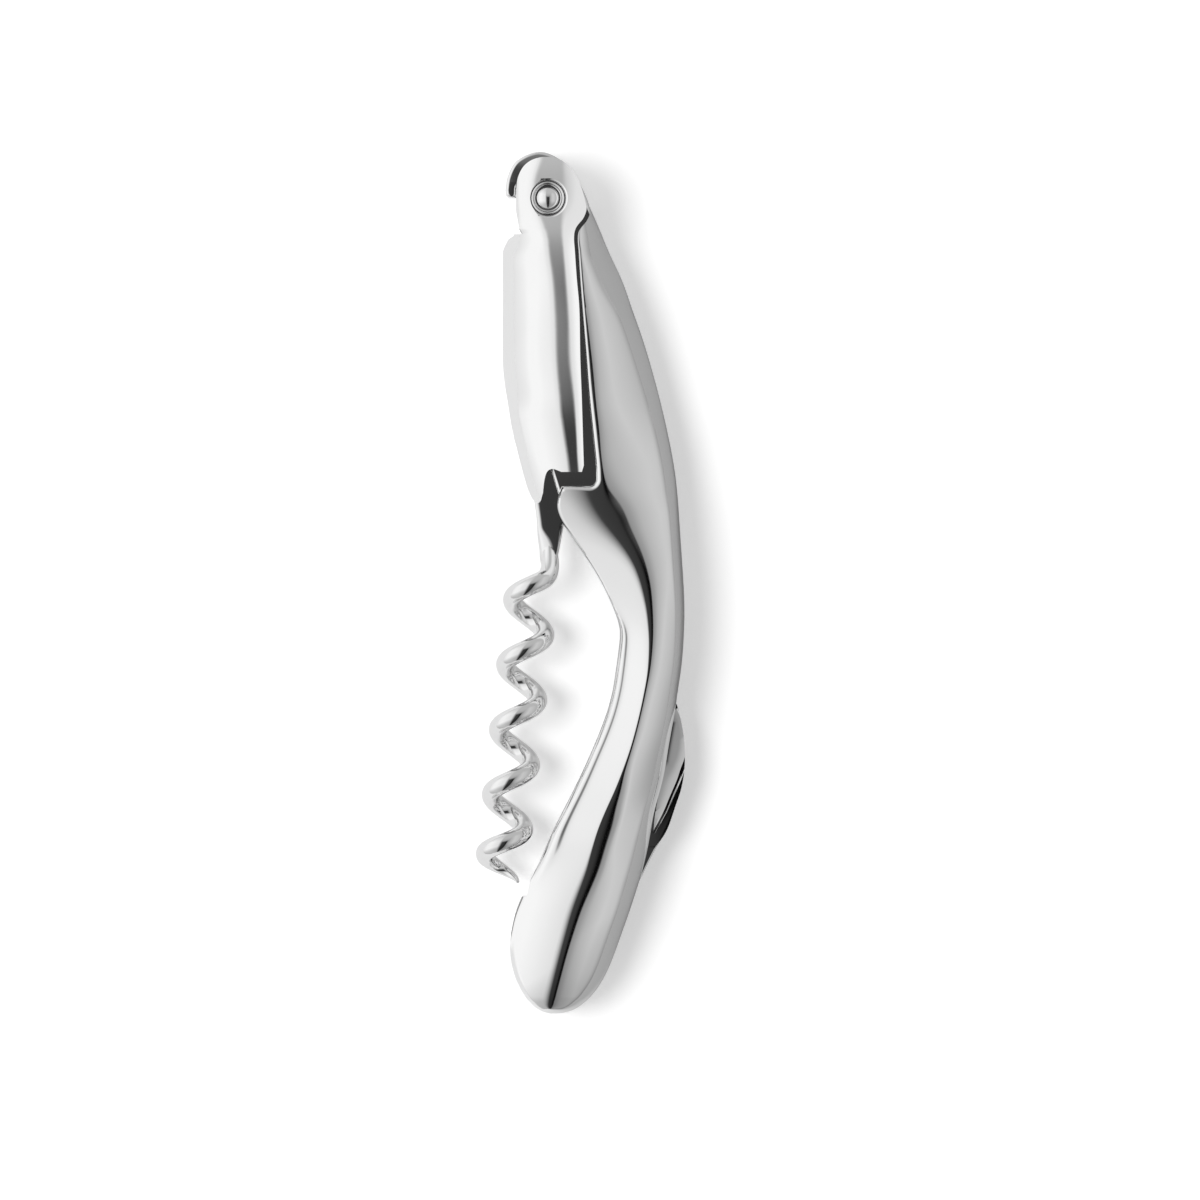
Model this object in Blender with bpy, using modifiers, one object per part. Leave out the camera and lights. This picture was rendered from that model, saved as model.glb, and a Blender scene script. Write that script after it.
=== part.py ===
# Waiter's corkscrew in polished steel: a sculpted handle whose inner tongue carries a boot lever,
# a fold-out worm and a foil blade. Metres, lying on its far side: X from front to back,
# Y from the rounded end up to the hook, Z through the thickness.
# Outlines and sections are shares of the named sizes that they follow.
import math

import bmesh
import bpy

# Handle: overall sizes, and where its foremost edge and its mid-plane lie
HANDLE_LENGTH = 0.134
HANDLE_DEPTH = 0.028
HANDLE_THICKNESS = 0.0154
HANDLE_FRONT_X = -0.01175
MID_Z = HANDLE_THICKNESS / 2
HANDLE_TOP_Y = HANDLE_LENGTH / 2
TONGUE_THICKNESS = 0.0080
TONGUE_EDGE_ROUND = 0.0006
LIP_DEPTH = 0.0022

# Clearances between pieces
SEAT_GAP = 0.0003
PIN_GAP = 0.00008
REST_GAP = 0.00015
SWING_GAP = 0.0006
CHANNEL_GAP = 0.0004
CUT_OVERRUN = 0.004

# Boot lever: pivot to prong tip, front to back, and its U section
LEVER_LENGTH = 0.0473
LEVER_WIDTH = 0.0131
LEVER_THICKNESS = 0.0146
WEB_THICKNESS = 0.0015
TONGUE_FRONT_GAP = 0.0010
LEDGE_TOP_GAP = 0.0006
LEDGE_SEAT_GAP = 0.0022

# Lever rivet with its dished washers and thrust washers
RIVET_RADIUS = 0.0013
RIVET_DOME_RADIUS = 0.0017
RIVET_DOME_HEIGHT = 0.0007
RECESS_RADIUS = 0.0027
RECESS_FLOOR = 0.0012
ROSETTE_RADIUS = 0.0022
ROSETTE_THICKNESS = 0.0004
THRUST_WASHER_RADIUS = 0.0022
THRUST_WASHER_THICKNESS = 0.0005

# Worm: pivot to point, wire, coil and the flat tab that it hangs on
WORM_LENGTH = 0.0672
WORM_WIRE = 0.0030
WORM_COIL = 0.0086
WORM_PITCH = 0.01017
WORM_POINT = 0.0005
WORM_AXIS_OFFSET = 0.0024
WORM_TILT = math.radians(6.2)
WORM_CLOSING = math.radians(10)
WORM_OPENING = math.radians(95)
SHANK_LENGTH = 0.0185
SHANK_OFFSET = 0.0004
TAB_LENGTH = 0.0152
TAB_WIDTH = 0.0097
TAB_THICKNESS = 0.0026
TAB_EYE_RADIUS = 0.00435
TAB_EDGE_ROUND = 0.0005
WORM_PIN_RADIUS = 0.00125

# Foil blade, its pin, washers and back spring
BLADE_LENGTH = 0.043
BLADE_REACH = 0.0163
BLADE_THICKNESS = 0.0018
BLADE_TANG_RADIUS = 0.0031
BLADE_TANG_START = math.radians(115)
BLADE_TANG_END = math.radians(395)
BLADE_OPENING = math.radians(150)
BLADE_PIN_RADIUS = 0.00125
BLADE_WASHER_RADIUS = 0.0027
NICK_RADIUS = 0.0018
NICK_DEPTH = 0.0006
NICK_LENGTH = 0.0175
BLADE_PIN_NEAR = 0.0038
BLADE_PIN_FAR = 0.0056
SPRING_THICKNESS = 0.0018
SPRING_WIDTH = 0.0016
SPRING_LENGTH = 0.0084
SPRING_LEAN = math.radians(14.5)
SPRING_PIN_RADIUS = 0.00045
SPRING_FLEX = 0.0006

# Facets
ROUND_SIDES = 24
WIRE_RESOLUTION = 4
TURN_POINTS = 16
SHANK_POINTS = 8
SPLINE_STEPS = 2
CHANNEL_POINTS = 16
CORNER_POINTS = 4
SMOOTH_ANGLE = math.radians(35)

# Pivots as (depth, drop) shares of the handle
LEVER_PIVOT_SHARES = (0.239, 0.0545)
WORM_PIVOT_SHARES = (0.317, 0.348)
BLADE_PIVOT_SHARES = (0.417, 0.943)

# Handle sections: drop, front, crest and back, thickness, and how squarely the front meets a lip
HANDLE_SECTION_SHARES = (
    (0.039, 0.339, 0.372, 0.422, 0.52, 0),
    (0.056, 0.339, 0.394, 0.453, 0.68, 0),
    (0.072, 0.339, 0.400, 0.489, 0.80, 0),
    (0.091, 0.306, 0.400, 0.528, 0.87, 0),
    (0.114, 0.283, 0.406, 0.572, 0.91, 0),
    (0.149, 0.261, 0.422, 0.647, 0.94, 0),
    (0.195, 0.239, 0.444, 0.728, 0.96, 0),
    (0.241, 0.228, 0.461, 0.800, 0.97, 0),
    (0.288, 0.239, 0.483, 0.861, 0.98, 0),
    (0.334, 0.250, 0.500, 0.911, 0.99, 0),
    (0.369, 0.272, 0.517, 0.944, 1.00, 0.2),
    (0.394, 0.289, 0.539, 0.958, 1.00, 0.3),
    (0.413, 0.283, 0.567, 0.967, 1.00, 0.4),
    (0.432, 0.322, 0.600, 0.972, 1.00, 0.5),
    (0.456, 0.400, 0.678, 0.978, 1.00, 0.6),
    (0.485, 0.494, 0.750, 0.989, 1.00, 0.7),
    (0.514, 0.560, 0.789, 0.997, 1.00, 0.85),
    (0.543, 0.614, 0.806, 0.997, 1.00, 1),
    (0.572, 0.650, 0.808, 0.992, 1.00, 1),
    (0.603, 0.630, 0.800, 0.975, 1.00, 1),
    (0.636, 0.597, 0.767, 0.956, 1.00, 1),
    (0.671, 0.519, 0.728, 0.925, 1.00, 1),
    (0.705, 0.447, 0.689, 0.897, 1.00, 1),
    (0.740, 0.372, 0.633, 0.856, 1.00, 1),
    (0.775, 0.283, 0.567, 0.814, 1.00, 1),
    (0.810, 0.199, 0.506, 0.783, 1.00, 1),
    (0.845, 0.117, 0.439, 0.747, 1.00, 1),
    (0.874, 0.064, 0.389, 0.706, 1.00, 0.6),
    (0.903, 0.031, 0.350, 0.658, 0.98, 0.1),
    (0.932, 0.033, 0.322, 0.608, 0.92, 0),
    (0.955, 0.056, 0.303, 0.561, 0.82, 0),
    (0.972, 0.089, 0.292, 0.511, 0.69, 0),
    (0.984, 0.128, 0.286, 0.464, 0.55, 0),
    (0.992, 0.167, 0.283, 0.419, 0.40, 0),
    (0.997, 0.211, 0.286, 0.372, 0.26, 0),
    (1.000, 0.260, 0.289, 0.322, 0.10, 0),
)
SECTION_STEPS = 2
SECTION_ANGLES = 8
ROUND_SQUARENESS = 2.0
LIP_SQUARENESS = 4.4
ROUND_SLOPE_SHARE = 0.04
LIP_SLOPE_SHARE = 0.26
CREST_ROUND_SHARE = 0.10

# Tongue, as (depth, drop) shares of the handle: over the hook, down inside the back,
# and along the front edge that shows below the lever
HOOK_OUTER_SHARES = (
    (0.003, 0.0452), (0.011, 0.0325), (0.031, 0.0209), (0.061, 0.0116), (0.106, 0.0052),
    (0.150, 0.0015), (0.194, 0.0), (0.250, 0.0027), (0.306, 0.0093), (0.350, 0.0186),
    (0.400, 0.0313), (0.433, 0.0441), (0.461, 0.0580), (0.483, 0.0742), (0.511, 0.0928),
    (0.544, 0.1195), (0.572, 0.1601), (0.617, 0.2181), (0.650, 0.2761), (0.661, 0.3341),
    (0.650, 0.3805), (0.594, 0.4095), (0.506, 0.4176),
)
TONGUE_NOSE_SHARES = ((0.389, 0.4118), (0.317, 0.4049), (0.294, 0.3956), (0.256, 0.3701), (0.205, 0.350))
MOUTH_SHARES = (
    (0.094, 0.1114), (0.128, 0.1032), (0.131, 0.0905), (0.131, 0.0696), (0.122, 0.0557),
    (0.106, 0.0452), (0.083, 0.0394), (0.069, 0.0418), (0.067, 0.0499),
)
HOOK_TIP_SHARES = ((0.056, 0.0534), (0.022, 0.0534), (0.006, 0.0505))

# How far up the lever's front the tongue's own front edge begins, as a share along it
TONGUE_FRONT_END_SHARE = 0.76

# Channel for the folded worm: where it starts in the front edge and reaches full depth
CHANNEL_START_SHARE = 0.500
CHANNEL_FULL_SHARE = 0.570

# Lever outline, (across, along) shares of its width and length from the pivot
LEVER_HEAD_SHARES = (
    (-0.379, 0.105), (-0.379, 0.003), (-0.373, -0.036), (-0.355, -0.069), (-0.296, -0.102),
    (-0.213, -0.122), (-0.118, -0.132), (-0.024, -0.135), (0.071, -0.132),
)
LEVER_NECK_SHARES = (
    (0.166, -0.123), (0.260, -0.102), (0.343, -0.069), (0.402, -0.030), (0.444, 0.013),
    (0.457, 0.039), (0.420, 0.067), (0.355, 0.089), (0.320, 0.108), (0.310, 0.135), (0.320, 0.174),
)
LEVER_BACK_SHARES = (
    (0.343, 0.266), (0.373, 0.365), (0.385, 0.529), (0.402, 0.660), (0.420, 0.824), (0.426, 0.877),
)
LEVER_SEAT_SHARES = ((0.402, 0.898), (0.160, 0.898))
LEVER_NOTCH_SHARES = (
    (0.107, 0.892), (0.054, 0.888), (0.006, 0.893), (-0.024, 0.906), (-0.045, 0.929), (-0.059, 0.966),
)
LEVER_PRONG_SHARES = ((-0.083, 0.992), (-0.118, 1.0), (-0.154, 0.993), (-0.189, 0.985))
LEVER_FRONT_SHARES = (
    (-0.237, 0.956), (-0.308, 0.890), (-0.367, 0.824), (-0.426, 0.759), (-0.473, 0.677),
    (-0.521, 0.594), (-0.538, 0.512), (-0.538, 0.332), (-0.538, 0.167),
)
LEVER_SHOULDER_SHARES = ((-0.521, 0.144), (-0.473, 0.133), (-0.414, 0.123))

# Lever body sections: along, front and crest shares, and thickness
LEVER_SECTION_SHARES = (
    (-0.18, -0.538, -0.020, 0.86), (-0.06, -0.538, 0.012, 0.91), (0.06, -0.538, 0.040, 0.94),
    (0.16, -0.538, 0.075, 0.96), (0.30, -0.538, 0.135, 0.985), (0.42, -0.538, 0.160, 1.0),
    (0.55, -0.532, 0.205, 1.0), (0.68, -0.473, 0.255, 0.995), (0.82, -0.367, 0.315, 0.985),
    (0.94, -0.258, 0.330, 0.97), (1.06, -0.130, 0.345, 0.95),
)
LEVER_SQUARENESS = 5.0
LEVER_SLOPE_SHARE = 0.12
LEVER_BACK_SPREAD_SHARE = 0.75

# Worm tab sides, (across, along) shares of half the tab's width and of its length from the pin
TAB_LEFT_SHARES = (
    (-0.95, 0.10), (-0.97, 0.22), (-0.90, 0.33), (-0.73, 0.52), (-0.57, 0.70), (-0.42, 0.87), (-0.34, 1.0),
)
TAB_RIGHT_SHARES = ((0.23, 1.0), (0.26, 0.89), (0.29, 0.74), (0.44, 0.53), (0.64, 0.27), (0.87, 0.08))
POINT_TURNS = 1.37
POINT_SQUEEZE_SHARE = 0.097
POINT_TAPER_TURNS = 0.6
SHANK_BLEND_TURN_SHARE = 0.15

# Blade outline, (across, up) shares of its reach and length from the pin
BLADE_SPINE_SHARES = (
    (0.324, 0.144), (0.448, 0.224), (0.571, 0.307), (0.714, 0.415), (0.829, 0.487), (0.914, 0.578),
    (0.962, 0.632), (0.990, 0.686), (1.0, 0.740), (0.995, 0.805), (0.967, 0.877), (0.924, 0.939),
    (0.867, 0.978),
)
BLADE_TIP_SHARES = (0.800, 1.0)
BLADE_EDGE_SHARES = (
    (0.752, 0.978), (0.714, 0.913), (0.676, 0.830), (0.648, 0.740), (0.610, 0.632), (0.562, 0.542),
    (0.505, 0.451), (0.438, 0.372), (0.362, 0.289), (0.248, 0.206), (0.076, 0.125),
)
NICK_CENTRE_SHARES = (0.86, 0.652)
NICK_LEAN = math.radians(25)


def clear_scene():
    for item in list(bpy.data.objects):
        bpy.data.objects.remove(item, do_unlink=True)


def new_collection(name):
    group = bpy.data.collections.new(name)
    bpy.context.scene.collection.children.link(group)
    return group


def steel(name, colour, roughness, metallic=1.0):
    material = bpy.data.materials.new(name)
    material.use_nodes = True
    shader = material.node_tree.nodes["Principled BSDF"]
    shader.inputs["Base Color"].default_value = colour
    shader.inputs["Roughness"].default_value = roughness
    shader.inputs["Metallic"].default_value = metallic
    return material


def add_mesh(name, mesh, collection):
    piece = bpy.data.objects.new(name, mesh)
    collection.objects.link(piece)
    return piece


def hide_cutter(cutter):
    cutter.hide_render = True
    cutter.display_type = "WIRE"
    return cutter


def boolean(piece, other, operation="DIFFERENCE"):
    cut = piece.modifiers.new(other.name, "BOOLEAN")
    cut.operation = operation
    cut.object = other
    cut.solver = "EXACT"


# Points and outlines
def handle_point(shares):
    """World X and Y of a point given as shares of the handle's depth and drop from its top."""
    return (HANDLE_FRONT_X + shares[0] * HANDLE_DEPTH, HANDLE_TOP_Y - shares[1] * HANDLE_LENGTH)


LEVER_PIVOT = handle_point(LEVER_PIVOT_SHARES)
WORM_PIVOT = handle_point(WORM_PIVOT_SHARES)
BLADE_PIVOT = handle_point(BLADE_PIVOT_SHARES)

# The back spring lies along the blade's tang, on the side away from the slot's mouth
SPRING_DOWN = (math.sin(SPRING_LEAN), -math.cos(SPRING_LEAN))
SPRING_OUT = (-math.cos(SPRING_LEAN), -math.sin(SPRING_LEAN))
SPRING_REST = BLADE_TANG_RADIUS + SEAT_GAP + SPRING_WIDTH / 2


def spring_point(down, out=0.0):
    """A point of the back spring, down its length from beside the tang and out from its middle."""
    return tuple(
        BLADE_PIVOT[axis] + SPRING_OUT[axis] * (SPRING_REST + out) + SPRING_DOWN[axis] * down
        for axis in range(2)
    )


def lever_point(shares):
    return (LEVER_PIVOT[0] + shares[0] * LEVER_WIDTH, LEVER_PIVOT[1] - shares[1] * LEVER_LENGTH)


def blade_point(shares):
    return (BLADE_PIVOT[0] + shares[0] * BLADE_REACH, BLADE_PIVOT[1] + shares[1] * BLADE_LENGTH)


def worm_point(across, along, turn=0.0):
    """World X and Y of a point in the worm's own frame, with the worm turned towards the handle."""
    angle = turn - WORM_TILT
    return (
        WORM_PIVOT[0] + across * math.cos(angle) + along * math.sin(angle),
        WORM_PIVOT[1] + across * math.sin(angle) - along * math.cos(angle),
    )


def spline(rows, steps):
    """Rows of numbers joined by a smooth curve through them, with steps points to each span."""
    smooth = []
    last = len(rows) - 1
    for index in range(last):
        before, start = rows[max(index - 1, 0)], rows[index]
        end, after = rows[index + 1], rows[min(index + 2, last)]
        for step in range(steps):
            t = step / steps
            smooth.append(tuple(
                b + t * (c - a) / 2 + t * t * (2 * a - 5 * b + 4 * c - d) / 2
                + t ** 3 * (3 * b - a - 3 * c + d) / 2
                for a, b, c, d in zip(before, start, end, after)
            ))
    smooth.append(tuple(rows[last]))
    return smooth


def arc(centre, radius, start, end, count):
    """Points round a centre from one angle to another, both ends included."""
    points = []
    for index in range(count + 1):
        angle = start + (end - start) * index / count
        points.append((centre[0] + radius * math.cos(angle), centre[1] + radius * math.sin(angle)))
    return points


def offset_run(points, distance):
    """An open run of points moved sideways, to the left of its direction."""
    moved = []
    for index, point in enumerate(points):
        before = points[max(index - 1, 0)]
        after = points[min(index + 1, len(points) - 1)]
        dx, dy = after[0] - before[0], after[1] - before[1]
        length = math.hypot(dx, dy)
        moved.append((point[0] - distance * dy / length, point[1] + distance * dx / length))
    return moved


def plate(name, outline, low_z, high_z, collection, edge_round=0.0):
    """A flat outline given a thickness, with its rim rounded where asked."""
    curve = bpy.data.curves.new(name, "CURVE")
    curve.dimensions = "2D"
    curve.fill_mode = "BOTH"
    curve.extrude = (high_z - low_z) / 2 - edge_round
    curve.bevel_depth = edge_round
    curve.offset = -edge_round
    curve.bevel_resolution = 1
    spline_path = curve.splines.new("POLY")
    spline_path.points.add(len(outline) - 1)
    for point, (x, y) in zip(spline_path.points, outline):
        point.co = (x, y, 0.0, 1.0)
    spline_path.use_cyclic_u = True
    path = bpy.data.objects.new(name + "_outline", curve)
    collection.objects.link(path)
    path.location.z = (low_z + high_z) / 2
    return solid_from_curve(path, name, collection)


def solid_from_curve(path, name, collection):
    """The closed mesh of a curve object, which it replaces."""
    bpy.context.view_layer.update()
    mesh = bpy.data.meshes.new_from_object(path.evaluated_get(bpy.context.evaluated_depsgraph_get()))
    mesh.name = name
    weld(mesh)
    piece = add_mesh(name, mesh, collection)
    piece.matrix_world = path.matrix_world.copy()
    bpy.data.objects.remove(path, do_unlink=True)
    return piece


def weld(mesh):
    work = bmesh.new()
    work.from_mesh(mesh)
    bmesh.ops.remove_doubles(work, verts=work.verts, dist=HANDLE_LENGTH * 1e-6)
    bmesh.ops.recalc_face_normals(work, faces=work.faces)
    work.to_mesh(mesh)
    work.free()


def drum(name, centre, radius, low_z, high_z, collection, sides=ROUND_SIDES):
    """A plain cylinder along Z."""
    mesh = bpy.data.meshes.new(name)
    work = bmesh.new()
    bmesh.ops.create_cone(
        work, cap_ends=True, segments=sides, radius1=radius, radius2=radius, depth=high_z - low_z)
    work.to_mesh(mesh)
    work.free()
    piece = add_mesh(name, mesh, collection)
    piece.location = (centre[0], centre[1], (low_z + high_z) / 2)
    return piece


def turned(name, profile, centre, collection, ring=False):
    """A round piece about Z from a profile of (radius, height) that runs down its outer side."""
    mesh = bpy.data.meshes.new(name)
    work = bmesh.new()
    corners = [work.verts.new((radius, 0.0, height)) for radius, height in profile]
    following = corners[1:] + corners[:1] if ring else corners[1:]
    for start, end in zip(corners, following):
        work.edges.new((start, end))
    work.to_mesh(mesh)
    work.free()
    piece = add_mesh(name, mesh, collection)
    piece.location = (centre[0], centre[1], MID_Z)
    screw = piece.modifiers.new("turn", "SCREW")
    screw.axis = "Z"
    screw.angle = math.tau
    screw.steps = ROUND_SIDES
    screw.render_steps = ROUND_SIDES
    screw.use_merge_vertices = True
    screw.merge_threshold = HANDLE_LENGTH * 1e-6
    return piece


def washer(name, centre, inner, outer, low, high, collection):
    """A flat ring between two heights above the mid-plane."""
    profile = [(outer, high), (outer, low), (inner, low), (inner, high)]
    return turned(name, profile, centre, collection, ring=True)


def loft(name, rings, collection):
    """A closed skin through rings of as many points each, with flat ends."""
    mesh = bpy.data.meshes.new(name)
    work = bmesh.new()
    rows = [[work.verts.new(point) for point in ring] for ring in rings]
    count = len(rings[0])
    for lower, upper in zip(rows, rows[1:]):
        for index in range(count):
            following = (index + 1) % count
            work.faces.new((lower[index], lower[following], upper[following], upper[index]))
    work.faces.new(rows[0])
    work.faces.new(rows[-1])
    bmesh.ops.recalc_face_normals(work, faces=work.faces)
    work.to_mesh(mesh)
    work.free()
    return add_mesh(name, mesh, collection)


def flank(share, squareness, slope):
    """Height of a flank over its height at the crest, at a share of the way from crest to rim."""
    ridge = math.sqrt(share * share + CREST_ROUND_SHARE ** 2) - CREST_ROUND_SHARE
    return (1 - slope * ridge) * max(1 - share ** squareness, 0.0) ** (1 / squareness)


def section_ring(y, front, crest, back, half_thickness, front_form, back_form):
    """One cross-section: over the near side from back to front, and under the far side again."""
    ring = []
    for index in range(4 * SECTION_ANGLES):
        angle = index * math.tau / (4 * SECTION_ANGLES)
        reach, form = (back - crest, back_form) if math.cos(angle) > 0 else (front - crest, front_form)
        squareness, slope = form
        share = abs(math.cos(angle)) ** (2 / squareness)
        height = half_thickness * flank(share, squareness, slope)
        ring.append((crest + reach * share, y, MID_Z + math.copysign(height, math.sin(angle))))
    return ring


# Handle
def handle_rings():
    rings = []
    for drop, front, crest, back, thickness, lip in spline(HANDLE_SECTION_SHARES, SECTION_STEPS):
        squareness = ROUND_SQUARENESS + (LIP_SQUARENESS - ROUND_SQUARENESS) * lip
        slope = ROUND_SLOPE_SHARE + (LIP_SLOPE_SHARE - ROUND_SLOPE_SHARE) * lip
        front_x, y = handle_point((front, drop))
        crest_x = handle_point((crest, drop))[0]
        back_x = handle_point((back, drop))[0]
        rings.append(section_ring(
            y, front_x, crest_x, back_x, min(thickness, 1.0) * HANDLE_THICKNESS / 2,
            (squareness, slope), (ROUND_SQUARENESS, ROUND_SLOPE_SHARE)))
    return rings


def handle_front_at(drop):
    """X of the handle's front edge at a drop share, straight between its sections."""
    for upper, lower in zip(HANDLE_SECTION_SHARES, HANDLE_SECTION_SHARES[1:]):
        if upper[0] <= drop <= lower[0]:
            share = (drop - upper[0]) / (lower[0] - upper[0])
            return handle_point((upper[1] + share * (lower[1] - upper[1]), drop))[0]
    return handle_point((HANDLE_SECTION_SHARES[-1][1], drop))[0]


def lever_outline():
    """The cheeks' outline, clockwise from the head's front edge."""
    rear = LEVER_HEAD_SHARES + LEVER_NECK_SHARES + LEVER_BACK_SHARES
    back = spline([lever_point(s) for s in rear], SPLINE_STEPS)
    seat = [lever_point(s) for s in LEVER_SEAT_SHARES]
    notch = spline([lever_point(s) for s in LEVER_NOTCH_SHARES], SPLINE_STEPS)
    prong = [lever_point(s) for s in LEVER_PRONG_SHARES]
    front = [lever_point(s) for s in LEVER_FRONT_SHARES + LEVER_SHOULDER_SHARES]
    return back + seat + notch + prong + front


def tongue_front_run():
    """Edge of the tongue under the lever's web, from its lower end up, a gap behind the web."""
    shift = WEB_THICKNESS + TONGUE_FRONT_GAP
    run = [lever_point(s) for s in LEVER_FRONT_SHARES if s[1] < TONGUE_FRONT_END_SHARE]
    return [(x + shift, y) for x, y in run]


def tongue_outline():
    hook = spline([handle_point(s) for s in HOOK_OUTER_SHARES], SPLINE_STEPS)
    nose = [handle_point(s) for s in TONGUE_NOSE_SHARES]
    mouth = spline([handle_point(s) for s in MOUTH_SHARES], SPLINE_STEPS)
    tip = [handle_point(s) for s in HOOK_TIP_SHARES]
    return hook + nose + tongue_front_run() + mouth + tip


def ledge_outline():
    """The rebate that each cheek lies in: the cheek's back edge and seat with a growing gap."""
    edge = spline([lever_point(s) for s in LEVER_NECK_SHARES + LEVER_BACK_SHARES], SPLINE_STEPS)
    grown = []
    for x, y in offset_run(edge, LEDGE_TOP_GAP):
        share = max((LEVER_PIVOT[1] - y) / LEVER_LENGTH, 0.0)
        grown.append((x + share * (LEDGE_SEAT_GAP - LEDGE_TOP_GAP), y))
    seat_y = lever_point(LEVER_SEAT_SHARES[0])[1] - LEDGE_SEAT_GAP
    corner_x = grown[-1][0]
    bend = LEDGE_SEAT_GAP / 2
    corner = arc((corner_x - bend, seat_y + bend), bend, 0.0, -math.pi / 2, CORNER_POINTS)
    left_x = HANDLE_FRONT_X - CUT_OVERRUN
    top_y = HANDLE_TOP_Y + CUT_OVERRUN
    return grown + corner + [(left_x, seat_y), (left_x, top_y), (grown[0][0], top_y)]


def worm_slot_outline():
    """Room in the tongue for the worm's tab between folded in and swung out."""
    reach = math.hypot(TAB_WIDTH / 2, TAB_LENGTH * TAB_LEFT_SHARES[1][1]) + SWING_GAP
    opened = []
    for across, along in reversed(TAB_LEFT_SHARES):
        opened.append(worm_point(across * TAB_WIDTH / 2 - SWING_GAP, along * TAB_LENGTH, -WORM_OPENING))
    upper = arc(WORM_PIVOT, reach, math.pi / 2, 0.0, ROUND_SIDES // 4)
    folded = []
    for across, along in reversed(TAB_RIGHT_SHARES):
        point = worm_point(across * TAB_WIDTH / 2, along * TAB_LENGTH, WORM_CLOSING)
        folded.append((point[0] + 2 * SWING_GAP, point[1]))
    exit_y = worm_point(0.0, TAB_LENGTH)[1] - SWING_GAP
    return opened + upper + folded + [(folded[-1][0], exit_y), (opened[0][0], exit_y)]


def channel_outline():
    """The worm's channel: lip deep at first, then clear of the folded coil down to its point."""
    reach = WORM_COIL / 2 + CHANNEL_GAP
    floor = []
    top = worm_point(reach - WORM_AXIS_OFFSET, SHANK_LENGTH, WORM_CLOSING)
    bottom = worm_point(reach - WORM_AXIS_OFFSET, WORM_LENGTH, WORM_CLOSING)
    low_drop = (HANDLE_TOP_Y - bottom[1]) / HANDLE_LENGTH
    for index in range(CHANNEL_POINTS + 1):
        drop = CHANNEL_START_SHARE + (low_drop - CHANNEL_START_SHARE) * index / CHANNEL_POINTS
        y = HANDLE_TOP_Y - drop * HANDLE_LENGTH
        ease = min((drop - CHANNEL_START_SHARE) / (CHANNEL_FULL_SHARE - CHANNEL_START_SHARE), 1.0)
        lip_x = handle_front_at(drop) + ease * LIP_DEPTH
        coil_x = top[0] + (bottom[0] - top[0]) * (top[1] - y) / (top[1] - bottom[1])
        floor.append((max(lip_x, coil_x), y))
    end_radius = WORM_COIL / 4
    end = arc((floor[-1][0] - end_radius, floor[-1][1]), end_radius, 0.0, -math.pi / 2, CORNER_POINTS)
    left_x = HANDLE_FRONT_X - CUT_OVERRUN
    return floor + end[1:] + [(left_x, end[-1][1]), (left_x, floor[0][1])]


def blade_outline():
    """The blade, anticlockwise from its neck up the spine and down the edge."""
    spine = spline([blade_point(s) for s in BLADE_SPINE_SHARES], SPLINE_STEPS)
    edge = spline([blade_point(s) for s in BLADE_EDGE_SHARES], SPLINE_STEPS)
    tang = arc(BLADE_PIVOT, BLADE_TANG_RADIUS, BLADE_TANG_START, BLADE_TANG_END, ROUND_SIDES // 2)
    return spine + [blade_point(BLADE_TIP_SHARES)] + edge + tang


def blade_slot_outline():
    """Slot for the closed blade and for its swing out of the back and the rounded end."""
    point = [blade_point(BLADE_SPINE_SHARES[-1]), blade_point(BLADE_TIP_SHARES)]
    edge = spline([blade_point(s) for s in BLADE_EDGE_SHARES], SPLINE_STEPS)
    inner = offset_run(point + edge, -SEAT_GAP)
    neck = math.atan2(
        BLADE_SPINE_SHARES[1][1] * BLADE_LENGTH, BLADE_SPINE_SHARES[1][0] * BLADE_REACH)
    open_angle = neck - BLADE_OPENING
    radius = BLADE_TANG_RADIUS + SEAT_GAP
    round_end = open_angle + math.tau - math.pi / 2
    round_tang = arc(BLADE_PIVOT, radius, BLADE_TANG_START, round_end, ROUND_SIDES // 2)
    reach = HANDLE_DEPTH
    down = (math.cos(open_angle) * reach, math.sin(open_angle) * reach)
    wall_end = (round_tang[-1][0] + down[0], round_tang[-1][1] + down[1])
    right_x = HANDLE_FRONT_X + HANDLE_DEPTH + CUT_OVERRUN
    return inner + round_tang + [wall_end, (right_x, wall_end[1]), (right_x, inner[0][1])]


def spring_outline(gap=0.0):
    """The flat back spring from its pin down past the tang, or its pocket with room to flex."""
    half = SPRING_WIDTH / 2 + gap
    flex = SPRING_FLEX if gap else 0.0
    start = math.atan2(SPRING_OUT[1], SPRING_OUT[0])
    top = arc(spring_point(-SPRING_LENGTH), half, start, start - math.pi, ROUND_SIDES // 3)
    return top + [spring_point(half, -half), spring_point(half, half + flex)]


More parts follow.
